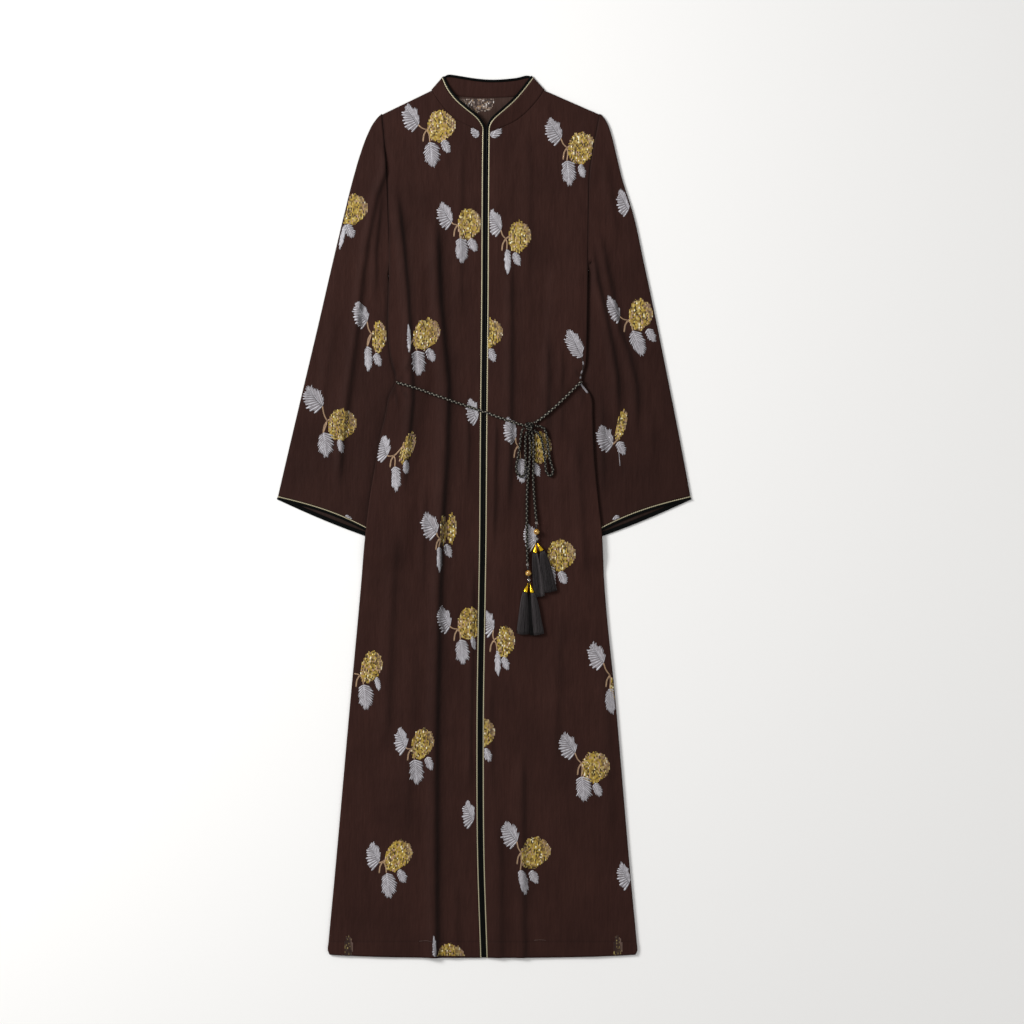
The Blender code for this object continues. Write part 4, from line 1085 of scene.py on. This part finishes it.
SILVER_DARK, SILVER_MID, SILVER_LIGHT = dyed("#7A7477", "#969296", "#C5C3C8")
TAN, DULL, FAINT, LOOP_YARN = dyed("#A3866A", "#8A7064", "#5C4A44", "#2A2623")
# Colours of the flower's threads, with the share of them up to each colour;
# then those of its loose ends inside, and of the specks of the same thread
# that show through the turned-up hem, among the ground's own colour.
GOLDS = (
    dyed("#463718", "#7F6632", "#A88A3E", "#BDA043", "#D3BE78", "#B7957C", "#FFF6D2"),
    (0.09, 0.27, 0.49, 0.69, 0.81, 0.92, 1.0),
)
LOOSE_ENDS = (
    dyed("#3E302B", "#66554C", "#857367", "#94795A", "#AFA49C", "#CFC8C2"),
    (0.34, 0.54, 0.72, 0.83, 0.94, 1.0),
)
HEM_ENDS = (dyed("#33201A", "#48372A", "#77653F", "#A3905A"), (0.58, 0.8, 0.94, 1.0))
# Half width and half height of the bloom.
FLOWER_HALF = (22.5, 26.0)
# Each leaf about its middle: stem and tip, first and last spread of the barbs
# on its left and right, and its plain oval outline: the turn of its long axis
# from the right, its half length and half width, and its number of lobes.
LEAF = ((11.0, -9.0), (-8.0, 20.0), (110, 15), (50, 35), (104, 22.0, 13.5, 8))
LOWER_LEAF = ((-4.0, 18.0), (0.0, -17.0), (70, 15), (65, 15), (-88, 20.5, 12.5, 8))
SMALL_LEAF = ((-4.0, 10.0), (3.0, -8.0), (60, 15), (60, 15), (-66, 11.5, 7.0, 6))
# The cut ends of leaves beside the collar's seam, as on the wearer's left.
SEAM_LEAF = ((-7.0, -9.0), (2.0, 7.0), (60, 20), (75, 25), (55, 12.0, 8.5, 6))
# The leaf at the left side seam, seen nearly flat and from its other side.
TURNED_LEAF = ((12.0, -20.0), (-6.0, 21.0), (80, 15), (45, 30), (115, 23.5, 12.0, 8))
LOBE_DEPTH = 0.08


def chance(a, b):
    """Even numbers from 0 to 1 that look random: the last digits of a large sine."""
    return np.mod(np.sin(a * 12.9898 + b * 78.233) * 43758.5453, 1.0)


def plan(px, py):
    """Plan point of a place counted in 1.6 mm steps from the picture's upper left corner."""
    return np.array(((px - 484.2) * PIXEL, (957.5 - py) * PIXEL))


def run(*places):
    """Plan points of places counted in the same steps."""
    return [plan(px, py) for px, py in places]


def placed(part):
    """Middle of a part, how wide the folded cloth shows it, and how far it leans for each millimetre up."""
    px, py, width, lean = (*part, *(1.0, 0.0)[len(part) - 2 :])
    return plan(px, py), width, lean


def squeezed(points, part):
    """Motif points about their middle, narrowed and leaning as the part says, moved to their place."""
    middle, width, lean = placed(part)
    return middle + np.stack((points[..., 0] * width + points[..., 1] * lean, points[..., 1]), axis=-1)


def flower_threads(part, colours, tall, allowed):
    """Upright threads between the bloom's two rims, cut at the cloth's edge, in mottled colours.

    The rims are a circle's two halves, fuller on the left, rising a little to the right, with shallow
    scallops. Every second thread is darker, petals show faintly as arcs about the stem, and the upper right
    side is duller.
    """
    middle, width, _ = placed(part)
    count = int(2 * FLOWER_HALF[0] * abs(width) / THREAD_PITCH)
    u = ((np.arange(count) + 0.5) / count * 2 - 1)[:, None]
    luck = chance(u + middle[0], middle[1])
    dome = np.sqrt(1 - u * u) * (0.93 - 0.2 * u)
    low = 0.08 * u - dome * (1 + 0.05 * np.cos(8 * u)) - 0.08 * luck
    top = 0.08 * u + dome * (1 + 0.05 * np.cos(11 * u)) + 0.12 * (luck - 0.5)
    v = low + (top - low) * np.linspace(0, 1, 60)
    reach = (FLOWER_HALF[0], tall)
    lines = squeezed(np.stack(np.broadcast_arrays(u, v), axis=-1) * reach, part)
    inside = allowed(lines[..., 0], lines[..., 1])
    real = inside.sum(axis=1) > 2
    u, v, inside, order = u[real], v[real], inside[real], np.arange(count)[real, None]
    low = np.where(inside, v, np.inf).min(axis=1, initial=np.inf)[:, None]
    top = np.where(inside, v, -np.inf).max(axis=1, initial=-np.inf)[:, None]
    v = low + (top - low) * np.linspace(0, 1, 37)
    lines = squeezed(np.stack(np.broadcast_arrays(u, v), axis=-1) * reach, part)
    out, angle = np.hypot(u + 0.3, v * 0.9), np.arctan2(v, u + 0.9)
    petals = np.abs(np.sin(5.2 * out + 0.8 * np.sin(4 * angle))) ** 8
    luck = chance(order + middle[0], np.round(lines[..., 1] / 2.3)) - 0.12 * petals - 0.06 * (order % 2)
    tint = colours[0][np.searchsorted(colours[1], np.clip(luck, 0.0, 0.999))]
    dull = 0.45 * ease((u + 0.5 * v - 0.4) / 0.4)[..., None]
    return lines, tint * (1 - dull) + DULL * dull, 1.8, 0.15


def leaf_threads(shape, part, allowed):
    """Barbs of a feathered leaf, from midrib to outline: a wide darker one under the gap of each bright pair,
    as painted shade in the gap.

    They fan out less and less towards the tip, and widen as the fan does. They are also cut at the cloth's
    edge. The outline is an oval whose distance from the middle is raised by the cosine of its lobes.
    """
    stem, tip = (np.array(value, float) for value in shape[:2])
    length = np.linalg.norm(tip - stem)
    axis = (tip - stem) / length
    square = np.array((-axis[1], axis[0]))
    count = 2 * (int(length / BARB_PITCH) + 2)
    along = np.tile((np.arange(count) + 0.2) / count, 2)
    side = np.repeat((1.0, -1.0), count)
    first, last = np.repeat(shape[2:4], count, axis=0).T
    spread = np.radians(first + (last - first) * along**0.8)
    direction = np.cos(spread)[:, None] * axis + (np.sin(spread) * side)[:, None] * square
    start = stem + (tip - stem) * along[:, None]
    under = np.append(np.arange(2 * count) % 2, 0)[:, None]
    gap = np.append(2 * length / count * np.sin(spread), 2.2)[:, None]
    opening = np.append(np.radians(np.abs(first - last)) * 2 / count, 0)[:, None]
    # The midrib itself is the last thread.
    start, direction = np.vstack((start, stem)), np.vstack((direction, axis))
    luck = chance(np.arange(len(start)) + part[0], part[1])[:, None]

    def barbs(share):
        line = start[:, None] + direction[:, None] * (length * share)[..., None]
        return line + 0.1 * length * axis * (share**2)[..., None]

    lines = barbs(np.linspace(0, 1, 48)[None, :])
    heading, half_length, half_width, lobes = shape[4]
    turn = np.arctan2(lines[..., 1], lines[..., 0]) - math.radians(heading)
    outline = np.hypot(np.cos(turn) / half_length, np.sin(turn) / half_width)
    outline = (1 + LOBE_DEPTH * np.cos(lobes * turn)) / outline
    inside = np.hypot(lines[..., 0], lines[..., 1]) < outline * (0.92 + 0.18 * luck)
    spot = squeezed(lines, part)
    kept = np.cumprod(inside & allowed(spot[..., 0], spot[..., 1]), axis=1).mean(axis=1)[:, None]
    real = kept[:, 0] > 0.06
    share = np.linspace(0, 1, 6)[None, :]
    lines = squeezed(barbs(kept * (1 - 0.14 * under) * share), part)[real]
    tone = chance(luck + share, share + part[1])[..., None]
    # The under barbs take the darker silver: painted shade in the gaps between the bright barbs.
    tint = np.where(under[..., None] > 0, SILVER_DARK, SILVER_MID + (SILVER_LIGHT - SILVER_MID) * tone)[real]
    width = np.clip(gap + opening * length * kept * share, 1.4, 5.5) * np.where(under > 0, 1.15, 0.75)
    width = width * (0.8, 1.0, 1.0, 1.0, 1.0, 0.5)
    return lines, tint, width[real], np.where(under > 0, 0.1, 0.32)[real]


def stem_threads(points, width, colour, allowed):
    """Threads side by side along a bent stem, from points of the plan, in one mottled colour."""
    line = evenly(smooth_route([(*point, 0.0) for point in points], 1.0)[:, :2], 3.0)
    step = np.gradient(line, axis=0)
    square = unit(np.stack((-step[:, 1], step[:, 0]), axis=1))
    count = max(1, round(width / 1.0))
    offsets = (np.arange(count) - (count - 1) / 2) * width / count
    lines = line[None] + square[None] * offsets[:, None, None]
    lines = lines[allowed(lines[..., 0], lines[..., 1]).all(axis=1)]
    luck = chance(np.arange(lines.shape[1])[None, :], np.arange(len(lines))[:, None])
    tint = colour * (0.75 + 0.5 * luck)[..., None]
    return lines, tint, min(width, 1.2), 0.25


def spray_parts(allowed, flower=None, leaf=None, lower=None, small=None, joint=None):
    """Threads of one spray, from the parts that this cloth shows and the joint where its stems meet."""
    leaves = ((LEAF, leaf), (LOWER_LEAF, lower), (SMALL_LEAF, small))
    made = [leaf_threads(shape, part, allowed) for shape, part in leaves if part]
    if flower:
        made.append(flower_threads(flower, GOLDS, FLOWER_HALF[1], allowed))
    if not joint:
        return made
    joint = plan(*joint)
    stems = [((joint, joint + (-4.6, -8), joint + (-6.2, -19)), 2.3)]
    if flower:
        stems.append(((joint, joint + (4, 3), squeezed(np.array((-15.0, 5.0)), flower)), 1.9))
    if leaf:
        root = squeezed(np.array(LEAF[0]), leaf)
        stems.append(((root, (root + joint) / 2 + (-1.2, -1.2), joint), 1.8))
    if lower:
        root = squeezed(np.array(LOWER_LEAF[0]), lower)
        stems.append(((joint, (root + joint) / 2 + (1.2, 2), root), 1.6))
    return made + [stem_threads(points, width, TAN, allowed) for points, width in stems]


def spray_piece(name, made, relief, *side):
    """One piece of all the threads brocaded into a cloth piece, laid on its face and shaded as it is."""
    points, faces, tints, total = [], [], [], 0
    for lines, tint, width, height in made:
        if not len(lines):
            continue
        step = lines[:, -1] - lines[:, 0]
        square = unit(np.stack((step[:, 1], -step[:, 0], 0 * step[:, 0]), axis=1)) / 2
        half = square[:, None] * np.broadcast_to(width, lines.shape[:2])[..., None]
        ridge = np.broadcast_to(height, lines.shape[:2])[..., None] * (0.0, 0.0, 1.0)
        section = np.stack((-half, ridge, half), axis=2)
        z, shade = relief(lines[..., 0], lines[..., 1], *side)
        part, part_faces = bundle(np.dstack((lines, z + WALL / 2 + 0.12)), section)
        points.append(part.reshape(-1, 3))
        tints.append(np.repeat((tint * (1 - 0.7 * shade)[..., None]).reshape(-1, 4), 3, axis=0))
        faces += [[corner + total for corner in face] for face in part_faces]
        total += len(points[-1])
    tints = np.vstack(tints)
    tints[:, 3] = 1.0
    return add_piece(name, np.vstack(points), faces, thread_finish, "brown_brocade", thread=tints)


# Each part's middle, then its width and lean where the folded cloth narrows or slants it.
FRONT_SPRAYS = {
    -1: (
        dict(flower=(441.7, 126), leaf=(411.5, 119.4), lower=(432.5, 154), small=(446.2, 146.5),
             joint=(427, 130)),
        dict(flower=(470, 224, 0.85), leaf=(445.5, 217, 0.9), lower=(462, 250, 0.8), small=(473, 245),
             joint=(457.8, 225)),
        dict(flower=(427, 334, 0.95, 0.12), leaf=(409.3, 339.5, 0.2), lower=(419, 362.5, 0.87),
             small=(431, 355), joint=(413.5, 340)),
        dict(leaf=(472.6, 413, 0.72)),
        dict(flower=(408.3, 447.5, 0.45, 0.3), leaf=(383.6, 450, 0.75, 0.25), lower=(396.5, 478, 0.6),
             small=(406.4, 467, 0.65, 0.2), joint=(394.2, 455.6)),
        dict(flower=(443.6, 530, 0.23), leaf=(430, 527), lower=(439.7, 558.5, 0.3),
             small=(448.2, 550.5, 0.9), joint=(440, 538)),
        dict(flower=(452.2, 528, 0.32)),
        dict(flower=(472, 623), leaf=(444.5, 620.7, 0.78), lower=(462.7, 651, 0.87),
             small=(473.5, 642.5, 0.5), joint=(458, 629)),
        dict(flower=(372, 666.5, 0.75, 0.15), lower=(366, 696, 0.95), small=(378, 683.5, 0.6),
             joint=(360, 675)),
        dict(flower=(423, 743.2, 0.8, 0.12), leaf=(401.3, 741.7, 0.75, 0.1), lower=(416.8, 771, 0.9),
             small=(429.5, 763, 0.9), joint=(411.6, 748.4)),
        dict(leaf=(468.6, 815, 0.73, 0.1)),
        dict(flower=(399, 855, 0.95, 0.2), leaf=(373.5, 856.7, 0.85, 0.12), lower=(389, 884.3, 0.95),
             small=(402, 875.7), joint=(383.2, 861)),
        dict(flower=(451, 958.5), leaf=(434.7, 950, 0.2)),
    ),
    1: (
        dict(flower=(582.5, 148), leaf=(554, 133), lower=(569.2, 172.4, 0.9), small=(582, 171, 0.75),
             joint=(567, 148)),
        dict(flower=(520, 236.5, 0.8), leaf=(495, 224.5, 0.85), lower=(507.8, 261, 0.38),
             small=(516.8, 259, 0.9), joint=(505.8, 239)),
        dict(flower=(489, 333), small=(492, 355, 0.9)),
        dict(leaf=(510.3, 432, 0.78), lower=(522.2, 470, 0.72), small=(536.5, 469.5, 0.85),
             joint=(518, 446)),
        dict(flower=(541.2, 447.4, 0.74)),
        dict(flower=(561.5, 555), leaf=(530, 538, 0.75), lower=(551, 577, 0.6), small=(562.8, 577.5),
             joint=(547.5, 559)),
        dict(flower=(506, 641, 0.65), leaf=(487.5, 624, 0.85), lower=(498.0, 662, 0.36),
             small=(505.6, 663, 0.8), joint=(494, 640)),
        dict(flower=(624, 684), leaf=(596.5, 657), lower=(611.6, 700, 0.8), joint=(609.8, 675)),
        dict(flower=(482.5, 732.5, 0.9), small=(487.5, 754.5, 0.9)),
        dict(flower=(595.8, 766.7), leaf=(568, 747), lower=(584, 787.8), small=(597.6, 789.4),
             joint=(581.4, 763)),
        dict(flower=(536, 852, 1.05, 0.1), leaf=(510, 835.5), lower=(523.5, 881, 0.55, -0.15),
             small=(534, 876.5), joint=(521, 852)),
        dict(leaf=(624, 877, 0.75)),
    ),
}
SLEEVE_SPRAYS = {
    -1: (
        dict(flower=(354, 209), lower=(343, 236, 0.25, 0.24), small=(350, 231, 1.1)),
        dict(flower=(379.7, 336.7, 0.5), leaf=(361, 316, 0.9), lower=(368.6, 358, 0.5),
             small=(378, 359.7, 0.85), joint=(371.4, 334)),
        dict(flower=(342.7, 424.3), leaf=(314, 400.5, 1.25), lower=(326, 444), small=(341, 446, 0.7),
             joint=(327.3, 421.2)),
        dict(small=(348.8, 521.4, 0.95)),
    ),
    1: (
        dict(leaf=(623.3, 204, 0.75)),
        dict(flower=(641, 314.5, 0.85), leaf=(613.8, 311, 0.68, -0.2), lower=(638, 342.3, 0.95, -0.25),
             small=(651, 335.3, 1.0, -0.1), joint=(628, 320.4)),
        dict(flower=(621.7, 424.5, 0.34, 0.2), leaf=(605.2, 440), small=(621.3, 448)),
        dict(small=(618.0, 521.6, 0.95)),
    ),
}


def on_front(side):
    """Whether plan points lie on a front, inside its piping, side edge, neck seam and hem."""

    def allowed(x, y):
        inner = side * (x - piping_x(y, side)) > 1.8
        outer = side * (side_x(y, side) - x) > 1.2
        neck_x = np.abs(COLLAR_FRONT[:, 1 if side < 0 else 2])
        neck = y < np.interp(np.abs(x), neck_x, COLLAR_FRONT[:, 0]) - 1.6
        shoulder = y < 1386 - 0.24 * np.maximum(0, np.abs(x) - 84)
        return inner & outer & neck & shoulder & (y > 3)

    return allowed


def on_sleeve(side):
    """Whether plan points lie on the part of a sleeve's upper layer that the body leaves bare."""

    def allowed(x, y):
        bare = side * (x - side_x(y, side)) > 1.6
        column = 1 if side < 0 else 2
        outer = side * x < np.interp(-y, -SLEEVE_OUTER[:, 0], SLEEVE_OUTER[:, column]) - 1.2
        share = (np.abs(x) - 145) / (328.6 - 145)
        cuff = y > 664 + 73 * share + 9 * np.sin(math.pi * np.clip(share, 0, 1)) + 2.5
        return bare & outer & cuff

    return allowed


# Odd parts: leaves that the seams cut or turn, stems on their own, the thread loop for
# the cord at the left side, and the loose ends that show through the turned-up hem.
edge_y = np.linspace(919, 903, 6)
seam_run = np.stack((side_x(edge_y, 1) - np.linspace(4.0, 3.0, 6), edge_y), axis=1)
thread_loop = run((581.2, 357), (583.0, 362), (582.6, 370), (580.8, 375), (580.2, 380))
ODD_PARTS = {
    "front_right": (
        (leaf_threads, SEAM_LEAF, (474.9, 131.6, -0.7)),
        (flower_threads, (349, 947, 0.3), HEM_ENDS, 20.0),
        (stem_threads, run((360, 675), (357.5, 674), (354.5, 673.6)), 1.6, TAN),
        (stem_threads, run((472.4, 815), (474, 819), (476.8, 821.4)), 1.6, TAN),
        (stem_threads, run((419, 941), (426, 940.2), (432, 941)), 0.6, FAINT),
    ),
    "sleeve_right": (),
    "front_left": (
        (leaf_threads, SEAM_LEAF, (496.2, 131.8)),
        (leaf_threads, TURNED_LEAF, (574.4, 344.6)),
        (stem_threads, thread_loop, 1.4, LOOP_YARN),
        (stem_threads, run((582.9, 361.6), (583.2, 363.4), (583.1, 365.2)), 2.1, SILVER_MID),
        (stem_threads, run((582.2, 370.6), (581.7, 372.2), (581.1, 373.8)), 2.1, SILVER_MID),
        (stem_threads, run((580.7, 376.6), (580.5, 377.7), (580.3, 378.8)), 2.1, SILVER_MID),
        (stem_threads, seam_run, 2.8, SILVER_MID),
        (flower_threads, (618, 947, 0.32), HEM_ENDS, 20.0),
        (stem_threads, run((534, 940), (540, 939.4), (546, 940)), 0.6, FAINT),
    ),
    "sleeve_left": (
        (stem_threads, run((612.4, 444.6), (616, 441.5), (618.4, 437)), 2.0, TAN),
        (stem_threads, run((617.2, 442), (619, 454), (620, 466)), 1.3, SILVER_MID),
    ),
}

for name, odd_parts in ODD_PARTS.items():
    side = -1 if "right" in name else 1
    front = "front" in name
    allowed = on_front(side) if front else on_sleeve(side)
    sprays = FRONT_SPRAYS[side] if front else SLEEVE_SPRAYS[side]
    made = [part for spray in sprays for part in spray_parts(allowed, **spray)]
    made += [threads(*values, allowed) for threads, *values in odd_parts]
    spray_piece("sprays_" + name, made, front_relief if front else sleeve_relief, side)


def inside_neck(x, y):
    """Whether plan points lie on the part of the back that shows through the neck."""
    return (y < 1374) & (y > 1330)


def back_relief(x, y):
    """Height of the back's upper face, with no shade."""
    return np.full(x.shape, BACK_Z), np.zeros(x.shape)


# Inside the back of the neck the loose ends of one flower show on the wrong side.
made = [flower_threads((476, 98.5, -1.3), LOOSE_ENDS, 22.0, inside_neck)]
spray_piece("spray_back_wrong_side", made, back_relief)
